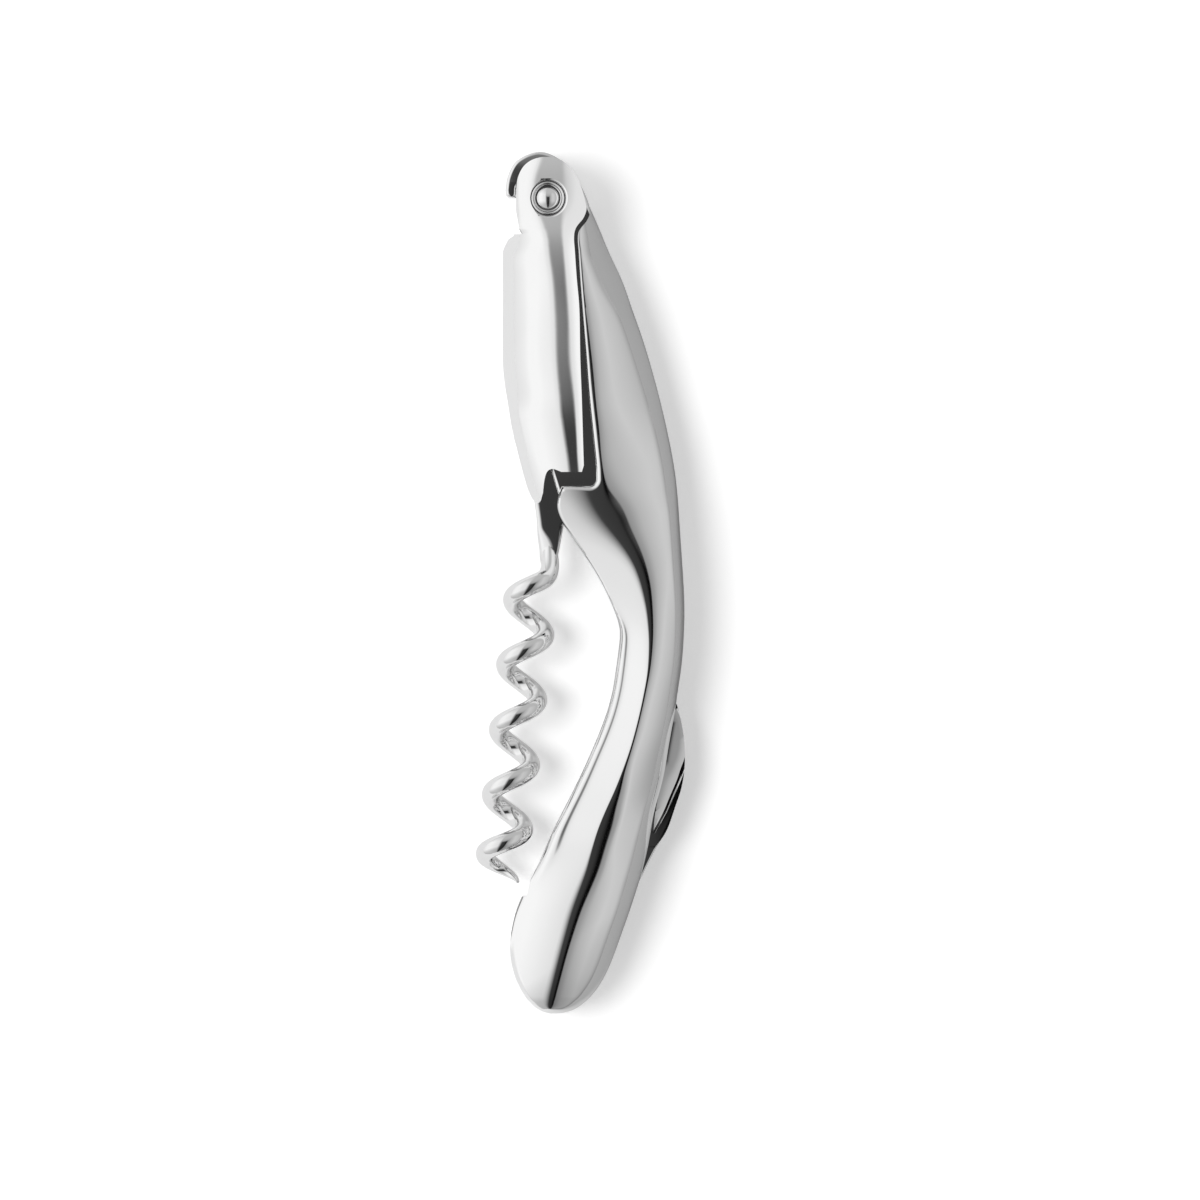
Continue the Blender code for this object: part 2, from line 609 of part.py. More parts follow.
def build_handle(parts, cutters):
    handle = loft("handle", handle_rings(), parts)
    rebate = ledge_outline()
    half = TONGUE_THICKNESS / 2
    top = HANDLE_THICKNESS / 2 + CUT_OVERRUN
    slot_half = BLADE_THICKNESS / 2 + SEAT_GAP
    tab_half = WORM_WIRE / 2 + SEAT_GAP
    channel_half = WORM_COIL / 2 + CHANNEL_GAP
    for side, low, high in (("near", half, top), ("far", -top, -half)):
        recess = plate("cheek_rebate_" + side, rebate, MID_Z + low, MID_Z + high, cutters)
        boolean(handle, hide_cutter(recess))
    tongue = plate(
        "tongue", tongue_outline(), MID_Z - half, MID_Z + half, cutters, edge_round=TONGUE_EDGE_ROUND)
    boolean(handle, hide_cutter(tongue), "UNION")
    cuts = (
        plate("worm_slot", worm_slot_outline(), MID_Z - tab_half, MID_Z + tab_half, cutters),
        plate("worm_channel", channel_outline(), MID_Z - channel_half, MID_Z + channel_half, cutters),
        plate("blade_slot", blade_slot_outline(), MID_Z - slot_half, MID_Z + slot_half, cutters),
        plate("spring_pocket", spring_outline(SEAT_GAP), MID_Z - slot_half, MID_Z + slot_half, cutters),
        drum("rivet_bore", LEVER_PIVOT, RIVET_RADIUS + PIN_GAP, MID_Z - top, MID_Z + top, cutters),
        drum("worm_pin_bore", WORM_PIVOT, WORM_PIN_RADIUS + PIN_GAP, MID_Z - top, MID_Z + top, cutters),
    )
    for cutter in cuts:
        boolean(handle, hide_cutter(cutter))
    washer_depth = THRUST_WASHER_THICKNESS + SEAT_GAP
    seats = (
        ("lever", LEVER_PIVOT, THRUST_WASHER_RADIUS, half - washer_depth, half + SEAT_GAP),
        ("blade", BLADE_PIVOT, BLADE_WASHER_RADIUS, slot_half - SEAT_GAP, slot_half + washer_depth),
    )
    for name, centre, radius, low, high in seats:
        for side in (1, -1):
            bottom, roof = sorted((MID_Z + side * low, MID_Z + side * high))
            seat = drum(f"{name}_washer_seat_{side}", centre, radius + SEAT_GAP, bottom, roof, cutters)
            boolean(handle, hide_cutter(seat))
    pins = (
        drum("blade_pin_bore", BLADE_PIVOT, BLADE_PIN_RADIUS + PIN_GAP,
             MID_Z - top, MID_Z + BLADE_PIN_NEAR + PIN_GAP, cutters),
        drum("spring_pin_bore", spring_point(-SPRING_LENGTH), SPRING_PIN_RADIUS + PIN_GAP,
             MID_Z - top, MID_Z + BLADE_PIN_NEAR + PIN_GAP, cutters, ROUND_SIDES // 2),
    )
    for pin in pins:
        boolean(handle, hide_cutter(pin))
    return handle


# Boot lever
def web_inside_outline():
    """Inside of the U: behind the web, and open all the way above its shoulder and below its end."""
    shoulder_y = lever_point(LEVER_SHOULDER_SHARES[-1])[1] + SEAT_GAP
    swing = TAB_WIDTH / 2 + SWING_GAP
    end_y = WORM_PIVOT[1] + swing + SWING_GAP
    shares = [s for s in LEVER_FRONT_SHARES if lever_point(s)[1] > end_y]
    inner = [(x + WEB_THICKNESS, y) for x, y in (lever_point(s) for s in shares)]
    inner = [(inner[0][0], end_y)] + inner + [(inner[-1][0], shoulder_y)]
    left_x = HANDLE_FRONT_X - CUT_OVERRUN
    right_x = HANDLE_FRONT_X + HANDLE_DEPTH
    top_y = HANDLE_TOP_Y + CUT_OVERRUN
    low_y = lever_point(LEVER_PRONG_SHARES[1])[1] - CUT_OVERRUN
    return [(left_x, end_y)] + inner + [
        (left_x, shoulder_y), (left_x, top_y), (right_x, top_y), (right_x, low_y), (left_x, low_y)]


def build_lever(parts, cutters):
    rings = []
    for along, front, crest, thickness in spline(LEVER_SECTION_SHARES, SECTION_STEPS):
        front_x, y = lever_point((front, along))
        crest_x = lever_point((crest, along))[0]
        back_x = crest_x + LEVER_BACK_SPREAD_SHARE * LEVER_WIDTH
        rings.append(section_ring(
            y, front_x, crest_x, back_x, min(thickness, 1.0) * LEVER_THICKNESS / 2,
            (LEVER_SQUARENESS, LEVER_SLOPE_SHARE), (ROUND_SQUARENESS, ROUND_SLOPE_SHARE)))
    lever = loft("boot_lever", rings, parts)
    top = LEVER_THICKNESS / 2 + CUT_OVERRUN
    inside = TONGUE_THICKNESS / 2 + SEAT_GAP
    outline = plate("cheek_outline", lever_outline(), MID_Z - top, MID_Z + top, cutters)
    boolean(lever, hide_cutter(outline), "INTERSECT")
    channel = plate("lever_channel", web_inside_outline(), MID_Z - inside, MID_Z + inside, cutters)
    boolean(lever, hide_cutter(channel))
    floor = inside + RECESS_FLOOR
    bore = drum("lever_bore", LEVER_PIVOT, RIVET_RADIUS + PIN_GAP, MID_Z - top, MID_Z + top, cutters)
    boolean(lever, hide_cutter(bore))
    for side in (1, -1):
        bottom, roof = sorted((MID_Z + side * floor, MID_Z + side * top))
        recess = drum(f"rivet_recess_{side}", LEVER_PIVOT, RECESS_RADIUS, bottom, roof, cutters)
        boolean(lever, hide_cutter(recess))
    return lever


def build_rivet(parts):
    """The lever's rivet with its domed ends, the dished washer under each and the thrust washers."""
    floor = TONGUE_THICKNESS / 2 + SEAT_GAP + RECESS_FLOOR
    rosette_low = floor + REST_GAP
    dome_low = rosette_low + ROSETTE_THICKNESS + REST_GAP
    quarter = arc((0.0, 0.0), 1.0, math.pi / 2, 0.0, ROUND_SIDES // 4)
    dome = [(x * RIVET_DOME_RADIUS, dome_low + z * RIVET_DOME_HEIGHT) for x, z in quarter]
    dome[0] = (0.0, dome[0][1])
    foot = [(RIVET_RADIUS, dome_low)]
    upper = dome + foot
    lower = [(radius, -height) for radius, height in reversed(upper)]
    rivet = turned("lever_rivet", upper + lower, LEVER_PIVOT, parts)
    bore = RIVET_RADIUS + PIN_GAP
    rings = []
    half = TONGUE_THICKNESS / 2
    for side, name in ((1, "near"), (-1, "far")):
        low, high = sorted((side * rosette_low, side * (rosette_low + ROSETTE_THICKNESS)))
        rings.append(washer("lever_rosette_" + name, LEVER_PIVOT, bore, ROSETTE_RADIUS, low, high, parts))
        low, high = sorted((side * (half - THRUST_WASHER_THICKNESS), side * half))
        rings.append(
            washer("lever_thrust_washer_" + name, LEVER_PIVOT, bore, THRUST_WASHER_RADIUS, low, high, parts))
    return rivet, rings


# Worm
def worm_path():
    """Centre of the wire from inside the tab to the point, with its radius, in the worm's own frame."""
    radius = (WORM_COIL - WORM_WIRE) / 2
    wire = WORM_WIRE / 2
    point = WORM_POINT / 2
    turns = (WORM_LENGTH - SHANK_LENGTH) / WORM_PITCH + POINT_SQUEEZE_SHARE * POINT_TURNS ** 2

    def coil(turn):
        late = max(turn - (turns - POINT_TURNS), 0.0)
        fall = WORM_PITCH * (turn - POINT_SQUEEZE_SHARE * late * late)
        angle = math.tau * turn
        return (radius * math.cos(angle) - WORM_AXIS_OFFSET, -SHANK_LENGTH - fall, radius * math.sin(angle))

    begin = (-SHANK_OFFSET, wire - TAB_LENGTH, 0.0)
    join = coil(SHANK_BLEND_TURN_SHARE)
    pull = math.dist(begin, join)
    down = (0.0, -pull, 0.0)
    lean = math.tau * SHANK_BLEND_TURN_SHARE
    run = math.tau * radius
    slope = (-run * math.sin(lean), -WORM_PITCH, run * math.cos(lean))
    bend = [pull * part / math.hypot(*slope) for part in slope]
    neck = TAB_THICKNESS / 2 - TAB_EDGE_ROUND / 2
    points = []
    for index in range(SHANK_POINTS):
        t = index / SHANK_POINTS
        rise = t * t * (3 - 2 * t)
        place = [
            (1 - rise) * a + (t - 2 * t * t + t ** 3) * b + rise * c + (t ** 3 - t * t) * d
            for a, b, c, d in zip(begin, down, join, bend)
        ]
        points.append((*place, neck + (wire - neck) * math.sin(t * math.pi / 2)))
    coil_turns = turns - SHANK_BLEND_TURN_SHARE
    steps = round(coil_turns * TURN_POINTS)
    for index in range(steps + 1):
        turn = SHANK_BLEND_TURN_SHARE + coil_turns * index / steps
        taper = math.sin(min((turns - turn) / POINT_TAPER_TURNS, 1.0) * math.pi / 2)
        points.append((*coil(turn), point + (wire - point) * taper))
    return points


def build_worm(parts, cutters):
    curve = bpy.data.curves.new("worm_wire", "CURVE")
    curve.dimensions = "3D"
    curve.fill_mode = "FULL"
    curve.bevel_depth = 1.0
    curve.bevel_resolution = WIRE_RESOLUTION
    curve.use_fill_caps = True
    curve.twist_mode = "MINIMUM"
    path = worm_path()
    route = curve.splines.new("POLY")
    route.points.add(len(path) - 1)
    for point, (x, y, z, radius) in zip(route.points, path):
        point.co = (x, y, z, 1.0)
        point.radius = radius
    wire = bpy.data.objects.new("worm_wire", curve)
    parts.objects.link(wire)
    worm = solid_from_curve(wire, "worm", parts)
    eye = arc((0.0, 0.0), TAB_EYE_RADIUS, math.pi, 0.0, ROUND_SIDES // 2)
    left = [(across * TAB_WIDTH / 2, -along * TAB_LENGTH) for across, along in TAB_LEFT_SHARES]
    right = [(across * TAB_WIDTH / 2, -along * TAB_LENGTH) for across, along in reversed(TAB_RIGHT_SHARES)]
    outline = eye + right + left[::-1]
    half = TAB_THICKNESS / 2
    tab = plate("worm_tab", outline, -half, half, cutters, edge_round=TAB_EDGE_ROUND)
    bore = drum("worm_bore", (0.0, 0.0), WORM_PIN_RADIUS + PIN_GAP, -WORM_WIRE, WORM_WIRE, cutters)
    boolean(worm, hide_cutter(tab), "UNION")
    boolean(worm, hide_cutter(bore))
    for piece in (worm, tab, bore):
        piece.location = (WORM_PIVOT[0], WORM_PIVOT[1], MID_Z)
        piece.rotation_euler = (0.0, 0.0, -WORM_TILT)
    half_tongue = TONGUE_THICKNESS / 2 - REST_GAP
    pin = drum("worm_pin", WORM_PIVOT, WORM_PIN_RADIUS, MID_Z - half_tongue, MID_Z + half_tongue, parts)
    return worm, pin


# Foil blade
def build_blade(parts, cutters):
    half = BLADE_THICKNESS / 2
    blade = plate("foil_blade", blade_outline(), MID_Z - half, MID_Z + half, parts)
    bore = drum("blade_bore", BLADE_PIVOT, BLADE_PIN_RADIUS + PIN_GAP,
                MID_Z - BLADE_THICKNESS, MID_Z + BLADE_THICKNESS, cutters)
    boolean(blade, hide_cutter(bore))
    centre = blade_point(NICK_CENTRE_SHARES)
    nick = drum("nail_nick", centre, NICK_RADIUS, MID_Z - NICK_LENGTH / 2, MID_Z + NICK_LENGTH / 2, cutters)
    nick.location.z = MID_Z + half + NICK_RADIUS - NICK_DEPTH
    nick.rotation_euler = (math.pi / 2, 0.0, -NICK_LEAN)
    boolean(blade, hide_cutter(nick))
    far_end, near_end = MID_Z - BLADE_PIN_FAR, MID_Z + BLADE_PIN_NEAR
    spring_eye = spring_point(-SPRING_LENGTH)
    pins = [
        drum("blade_pin", BLADE_PIVOT, BLADE_PIN_RADIUS, far_end, near_end, parts),
        drum("backspring_pin", spring_eye, SPRING_PIN_RADIUS, far_end, near_end, parts, ROUND_SIDES // 2),
    ]
    low = half + SEAT_GAP
    inner = BLADE_PIN_RADIUS + PIN_GAP
    for side, name in ((1, "near"), (-1, "far")):
        bottom, roof = sorted((side * low, side * (low + THRUST_WASHER_THICKNESS)))
        ring = washer("blade_washer_" + name, BLADE_PIVOT, inner, BLADE_WASHER_RADIUS, bottom, roof, parts)
        pins.append(ring)
    return blade, pins


def build_spring(parts, cutters):
    half = SPRING_THICKNESS / 2
    spring = plate("blade_backspring", spring_outline(), MID_Z - half, MID_Z + half, parts)
    bore = drum("backspring_bore", spring_point(-SPRING_LENGTH), SPRING_PIN_RADIUS + PIN_GAP,
                MID_Z - SPRING_THICKNESS, MID_Z + SPRING_THICKNESS, cutters, ROUND_SIDES // 2)
    boolean(spring, hide_cutter(bore))
    return spring


def hinge(name, pivot, piece, collection):
    """An empty on a joint's axis, which carries the moving piece."""
    axis = bpy.data.objects.new(name, None)
    axis.location = (pivot[0], pivot[1], MID_Z)
    collection.objects.link(axis)
    piece.parent = axis
    piece.location = [place - start for place, start in zip(piece.location, axis.location)]


def finish(piece, material):
    """A finish for the piece, shaded smooth but for its edges."""
    piece.data.materials.clear()
    piece.data.materials.append(material)
    piece.data.shade_smooth()
    piece.data.set_sharp_from_angle(angle=SMOOTH_ANGLE)


def build():
    clear_scene()
    parts = new_collection("corkscrew")
    cutters = new_collection("cutters")
    handle = build_handle(parts, cutters)
    lever = build_lever(parts, cutters)
    rivet, rings = build_rivet(parts)
    worm, worm_pin = build_worm(parts, cutters)
    blade, blade_pins = build_blade(parts, cutters)
    spring = build_spring(parts, cutters)
    hinge("lever_pivot", LEVER_PIVOT, lever, parts)
    hinge("worm_pivot", WORM_PIVOT, worm, parts)
    hinge("blade_pivot", BLADE_PIVOT, blade, parts)
    finish(handle, steel("handle_polish", (0.86, 0.86, 0.86, 1.0), 0.06))
    finish(lever, steel("lever_polish", (0.87, 0.87, 0.87, 1.0), 0.06))
    finish(rivet, steel("rivet_polish", (0.88, 0.88, 0.88, 1.0), 0.08))
    finish(worm, steel("worm_polish", (0.80, 0.80, 0.80, 1.0), 0.10))
    finish(blade, steel("blade_polish", (0.84, 0.84, 0.84, 1.0), 0.08))
    finish(spring, steel("spring_steel", (0.60, 0.60, 0.61, 1.0), 0.30))
    finish(worm_pin, steel("worm_pin_steel", (0.72, 0.72, 0.73, 1.0), 0.20))
    for ring in rings:
        finish(ring, steel(ring.name + "_finish", (0.78, 0.78, 0.78, 1.0), 0.15))
    for pin in blade_pins:
        finish(pin, steel(pin.name + "_finish", (0.70, 0.70, 0.71, 1.0), 0.22))


build()
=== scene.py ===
import math

import bmesh
import bpy
import numpy as np
from mathutils import Matrix

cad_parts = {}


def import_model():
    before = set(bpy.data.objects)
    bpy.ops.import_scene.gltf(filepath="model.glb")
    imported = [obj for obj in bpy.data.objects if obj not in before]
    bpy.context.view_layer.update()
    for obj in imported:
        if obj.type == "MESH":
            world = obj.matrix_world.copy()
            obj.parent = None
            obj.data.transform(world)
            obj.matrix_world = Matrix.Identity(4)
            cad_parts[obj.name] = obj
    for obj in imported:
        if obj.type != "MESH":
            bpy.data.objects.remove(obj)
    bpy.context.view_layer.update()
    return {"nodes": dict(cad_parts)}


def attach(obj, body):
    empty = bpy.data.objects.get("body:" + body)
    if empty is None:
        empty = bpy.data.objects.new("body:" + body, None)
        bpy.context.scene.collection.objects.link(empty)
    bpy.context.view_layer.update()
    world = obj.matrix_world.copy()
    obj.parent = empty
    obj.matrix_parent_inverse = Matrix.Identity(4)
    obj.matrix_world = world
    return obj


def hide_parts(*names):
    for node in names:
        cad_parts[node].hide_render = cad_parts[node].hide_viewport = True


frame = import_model()

# Handle: one investment casting in stainless steel, belt-ground and then polished on a felt wheel.
# It lies on its far side. A crest runs down each flank, a rebate takes the lever's cheeks, and the
# front edge is hollowed between two rolled lips for the folded worm.
MM = 0.001
MIDDLE = 7.7
FRONT_X = -11.75
TOP_Y = 67.0

# Millimetres below the hook: front edge, crest and back edge behind the foremost edge, half thickness
HANDLE_LINES = (
    (5.2, 9.5, 10.4, 11.8, 4.0), (7.5, 9.5, 10.9, 12.7, 5.24), (9.65, 9.5, 11.0, 13.7, 6.16),
    (12.2, 9.0, 11.0, 14.8, 6.7), (15.23, 8.87, 11.04, 16.02, 7.01), (19.9, 8.87, 11.51, 18.2, 7.24),
    (24.56, 8.87, 12.13, 19.83, 7.35), (29.22, 8.87, 12.76, 21.47, 7.43),
    (33.89, 8.87, 13.3, 22.87, 7.48), (38.55, 8.87, 13.77, 24.11, 7.55),
    (43.22, 8.87, 14.23, 25.2, 7.6), (47.88, 8.87, 14.62, 26.13, 7.67), (50.99, 8.87, 14.93, 26.6, 7.7),
    (52.54, 8.48, 15.09, 26.76, 7.7), (54.87, 7.88, 15.48, 26.96, 7.7), (57.21, 8.6, 16.64, 27.12, 7.7),
    (59.54, 10.16, 18.12, 27.27, 7.7), (61.87, 11.82, 19.45, 27.43, 7.7),
    (64.2, 13.38, 20.53, 27.59, 7.7), (66.53, 14.78, 21.31, 27.74, 7.7),
    (68.86, 15.94, 21.86, 27.86, 7.7), (71.2, 16.96, 22.25, 27.92, 7.7),
    (74.31, 17.89, 22.5, 27.85, 7.7), (77.41, 17.66, 22.5, 27.69, 7.7),
    (80.52, 17.24, 22.25, 27.38, 7.7), (83.63, 16.76, 21.71, 26.91, 7.7),
    (86.74, 15.98, 21.07, 26.53, 7.7), (89.85, 14.86, 20.32, 25.96, 7.7),
    (92.96, 13.57, 19.43, 25.43, 7.7), (96.07, 12.19, 18.34, 24.97, 7.7),
    (99.18, 10.7, 17.11, 24.24, 7.7), (102.29, 9.1, 15.69, 23.35, 7.7),
    (105.4, 7.54, 14.44, 22.78, 7.7), (108.5, 6.18, 13.61, 22.22, 7.7),
    (111.61, 4.78, 12.94, 21.47, 7.7), (114.72, 3.09, 11.95, 20.53, 7.68),
    (117.83, 1.75, 10.89, 19.52, 7.62), (120.94, 1.05, 10.0, 18.43, 7.44),
    (124.05, 0.78, 9.15, 17.34, 7.08), (127.0, 1.2, 8.4, 16.2, 6.52), (129.4, 2.05, 7.8, 14.95, 5.9),
    (131.2, 3.05, 7.35, 13.6, 5.3), (132.5, 4.15, 7.1, 12.2, 4.75), (133.3, 5.2, 7.0, 10.9, 4.1),
    (133.75, 6.1, 7.1, 9.8, 3.3), (134.0, 7.2, 7.65, 8.3, 0.3),
)

# Front flank: slope off the crest and its softness, roundness, rim, share of the slope that flattens
# out before the rim and over what width, height of the edge. The row at 43.0 keeps the flank above it
# from waving, because the rows below it change fast.
FRONT_FLANK = (
    (5.2, 0.15, 1.0, 0.0, 0.8, 0.0, 1.0, 0.05), (43.0, 0.15, 1.0, 0.0, 0.8, 0.0, 1.0, 0.05),
    (43.2, 0.15, 1.0, 0.0, 0.8, 0.0, 1.0, 0.05), (48.0, 0.2, 6.0, 0.0, 0.5, 0.0, 1.0, 0.05),
    (52.5, 0.2, 6.0, 0.0, 0.5, 0.0, 1.0, 0.05), (54.9, 0.2, 4.6, 0.0, 0.4, 0.0, 1.0, 0.05),
    (57.2, 0.19, 3.6, 0.0, 0.4, 0.0, 1.0, 0.05), (59.5, 0.19, 2.7, 0.0, 0.4, 0.0, 0.6, 0.05),
    (61.9, 0.2, 1.7, 0.0, 0.3, 0.0, 0.5, 0.05), (64.2, 0.215, 1.1, 0.0, 0.25, 0.0, 0.5, 0.8),
    (66.5, 0.235, 0.9, 0.0, 0.25, 0.0, 0.5, 3.0), (68.9, 0.26, 0.8, 0.0, 0.25, 0.0, 0.5, 4.4),
    (71.2, 0.3, 0.7, 0.0, 0.3, 0.3, 0.5, 4.5), (73.5, 0.36, 0.7, 0.0, 0.6, 0.8, 0.5, 4.5),
    (75.9, 0.46, 0.6, 0.0, 0.9, 0.9, 0.5, 4.5), (78.2, 0.48, 0.5, 0.0, 1.0, 0.9, 0.5, 4.5),
    (82.1, 0.48, 0.15, 0.0, 1.1, 0.9, 0.45, 4.5), (85.2, 0.47, 0.15, 0.0, 1.1, 0.9, 0.45, 4.5),
    (89.9, 0.44, 0.15, 0.0, 1.2, 0.9, 0.45, 4.5), (94.5, 0.41, 0.15, 0.0, 1.2, 0.9, 0.45, 4.5),
    (99.2, 0.375, 0.15, 0.0, 1.3, 0.9, 0.5, 4.5), (103.8, 0.36, 0.15, 0.0, 1.4, 0.9, 0.55, 4.5),
    (106.2, 0.345, 0.2, 0.0, 1.5, 0.9, 0.6, 4.5), (108.5, 0.3, 0.4, 0.0, 1.7, 0.7, 0.6, 4.5),
    (110.8, 0.25, 0.7, 0.02, 1.5, 0.4, 0.6, 4.6), (113.2, 0.19, 0.9, 0.04, 1.3, 0.1, 0.6, 4.7),
    (115.5, 0.15, 1.0, 0.055, 1.1, 0.0, 0.5, 4.7), (117.8, 0.13, 1.0, 0.06, 1.0, 0.0, 0.5, 4.4),
    (122.5, 0.13, 1.0, 0.06, 0.9, 0.0, 0.5, 4.0), (127.0, 0.12, 1.0, 0.06, 0.9, 0.0, 0.5, 3.2),
    (131.0, 0.12, 1.0, 0.05, 0.9, 0.0, 0.5, 2.4), (134.0, 0.1, 1.0, 0.05, 0.9, 0.0, 0.5, 0.2),
)
FRONT_SQUARENESS = 2.0
SETTING_SOFTNESS = 0.12

# Back flank: slope, softness, roundness, second slope, how far off the crest it sets in, rim, squareness
BACK_FLANK = (
    (5.2, 0.0, 0.5, 0.2, 0.0, 2.0, 3.0, 2.3), (12.0, 0.0, 0.5, 0.24, 0.0, 2.0, 5.0, 2.4),
    (15.2, 0.02, 0.5, 0.28, 0.0, 2.0, 5.0, 2.4), (19.9, 0.08, 0.5, 0.18, 0.0, 2.0, 5.0, 2.4),
    (24.6, 0.1, 0.5, 0.115, 0.0, 2.0, 3.2, 2.2), (29.2, 0.12, 0.5, 0.093, 0.0, 2.0, 2.9, 2.1),
    (33.9, 0.13, 0.5, 0.08, 0.0, 2.0, 2.7, 2.0), (38.6, 0.16, 0.5, 0.064, 0.0, 2.0, 2.5, 2.0),
    (43.2, 0.15, 0.5, 0.045, 0.0, 2.0, 2.4, 2.0), (47.9, 0.16, 0.5, 0.03, 0.0, 2.0, 2.4, 2.0),
    (52.5, 0.08, 0.5, 0.038, 0.0, 2.0, 2.2, 2.0), (54.9, 0.0, 0.5, 0.045, 0.0, 2.0, 1.9, 2.0),
    (59.5, 0.0, 0.5, 0.058, 0.0, 2.0, 1.7, 2.0), (64.2, 0.0, 0.5, 0.08, 0.0, 2.0, 1.7, 2.0),
    (68.9, 0.0, 0.5, 0.115, 0.0, 2.0, 1.6, 2.0), (71.2, 0.01, 0.5, 0.14, 0.0, 2.0, 1.5, 2.0),
    (75.9, 0.04, 0.4, 0.17, 0.0, 2.0, 1.4, 2.0), (80.5, 0.1, 0.4, 0.17, 0.0, 2.0, 1.35, 2.0),
    (85.2, 0.15, 0.4, 0.17, 0.0, 1.5, 1.3, 2.0), (89.9, 0.17, 0.4, 0.165, 0.0, 1.0, 1.3, 2.0),
    (94.5, 0.12, 0.35, 0.15, 0.12, 1.0, 1.4, 2.0), (99.2, 0.0, 0.3, 0.12, 0.26, 2.1, 1.6, 2.0),
    (103.8, 0.0, 0.3, 0.06, 0.25, 2.95, 2.0, 2.0), (108.5, 0.0, 0.3, 0.06, 0.18, 2.8, 2.6, 2.1),
    (113.2, 0.02, 0.3, 0.065, 0.08, 2.4, 2.8, 2.1), (117.8, 0.04, 0.3, 0.075, 0.0, 2.0, 2.6, 2.1),
    (124.0, 0.06, 0.3, 0.08, 0.0, 2.0, 2.6, 2.1), (134.0, 0.06, 0.3, 0.08, 0.0, 2.0, 2.4, 2.1),
)
HANDLE_LENGTH = 134.0
RING_STEP = 0.45
SMOOTHING_TURNS = 6
FLANK_SAMPLES = 34


def blend_rows(rows, drops):
    """Rows of numbers, each headed by its drop, read off at other drops on smooth curves."""
    table = np.array(rows)
    known, values = table[:, 0], table[:, 1:]
    slopes = np.gradient(values, known, axis=0)
    index = np.clip(np.searchsorted(known, drops) - 1, 0, len(known) - 2)
    span = known[index + 1] - known[index]
    t = ((drops - known[index]) / span)[:, None]
    span = span[:, None]
    start, end = values[index], values[index + 1]
    return (
        (2 * t**3 - 3 * t**2 + 1) * start + (t**3 - 2 * t**2 + t) * span * slopes[index]
        + (3 * t**2 - 2 * t**3) * end + (t**3 - t**2) * span * slopes[index + 1])


def calm(values, turns):
    """Small waves between neighbouring rows taken out, with the two ends held."""
    for _ in range(turns):
        values[1:-1] = (values[:-2] + 2 * values[1:-1] + values[2:]) / 4
    return values


def ridge(distance, softness):
    return np.sqrt(distance**2 + softness**2) - softness


def swell(distance, softness):
    return softness * np.logaddexp(0.0, distance / softness)


def roll_off(height, distance, reach, rim, squareness, foot):
    """The flank turned over into the edge within the rim's width, down to the foot's height."""
    rim = min(rim, reach)
    share = np.clip((distance - (reach - rim)) / rim, 0.0, 1.0)
    return height - (height - foot) * (1 - (1 - share**squareness) ** (1 / squareness))


end_drops = HANDLE_LENGTH - np.array([2.0, 1.6, 1.25, 0.95, 0.7, 0.5, 0.35, 0.22, 0.12, 0.05, 0.0])
handle_drops = np.concatenate([np.arange(5.2, 131.7, RING_STEP), end_drops])
handle_lines = calm(blend_rows(HANDLE_LINES, handle_drops), SMOOTHING_TURNS)
handle_lines[:, 3] = np.minimum(handle_lines[:, 3], MIDDLE)
front_flanks = calm(blend_rows(FRONT_FLANK, handle_drops), SMOOTHING_TURNS)
back_flanks = calm(blend_rows(BACK_FLANK, handle_drops), SMOOTHING_TURNS)


def front_height(row, distance):
    front, crest, _, half = handle_lines[row]
    slope, softness, roundness, rim, flat, width, foot = front_flanks[row]
    reach = crest - front
    roundness = min(roundness, 0.8 * half / reach**2)
    start = reach - min(rim, reach) - width
    height = half - slope * ridge(distance, softness) - roundness * distance**2 / 2
    height = height + flat * slope * (swell(distance - start, width / 3) - swell(-start, width / 3))
    return roll_off(height, distance, reach, rim, FRONT_SQUARENESS, min(foot, 0.6 * half))


def back_height(row, distance):
    _, crest, back, half = handle_lines[row]
    slope, softness, roundness, second, setting, rim, squareness = back_flanks[row]
    reach = back - crest
    roundness = min(roundness, 1.1 * half / reach**2)
    height = half - slope * ridge(distance, softness) - roundness * distance**2 / 2
    sunk = swell(distance - setting, SETTING_SOFTNESS) - swell(-setting, SETTING_SOFTNESS)
    height = height - second * sunk
    return roll_off(height, distance, reach, rim, squareness, 0.0)


def handle_height(x, drop):
    """Height of the near flank over the mid-plane."""
    row = int(np.clip(np.searchsorted(handle_drops, drop), 1, len(handle_drops) - 1))
    share = (drop - handle_drops[row - 1]) / (handle_drops[row] - handle_drops[row - 1])
    heights = []
    for at in (row - 1, row):
        front, crest, back, _ = handle_lines[at]
        if x < crest:
            heights.append(float(front_height(at, min(crest - x, crest - front))))
        else:
            heights.append(float(back_height(at, min(x - crest, back - crest))))
    return heights[0] * (1 - share) + heights[1] * share


def world(x, drop, height):
    return ((FRONT_X + x) * MM, (TOP_Y - drop) * MM, (MIDDLE + height) * MM)


def tidy(mesh):
    work = bmesh.new()
    work.from_mesh(mesh)
    bmesh.ops.remove_doubles(work, verts=work.verts, dist=1e-7)
    bmesh.ops.dissolve_degenerate(work, edges=work.edges, dist=1e-7)
    bmesh.ops.delete(work, geom=[edge for edge in work.edges if not edge.link_faces], context="EDGES")
    bmesh.ops.recalc_face_normals(work, faces=work.faces)
    work.to_mesh(mesh)
    work.free()


def put(name, mesh):
    piece = bpy.data.objects.new(name, mesh)
    bpy.context.scene.collection.objects.link(piece)
    return piece


def worked_out(thing):
    """The mesh that an object's curve or modifiers make."""
    bpy.context.view_layer.update()
    graph = bpy.context.evaluated_depsgraph_get()
    return bpy.data.meshes.new_from_object(thing.evaluated_get(graph))


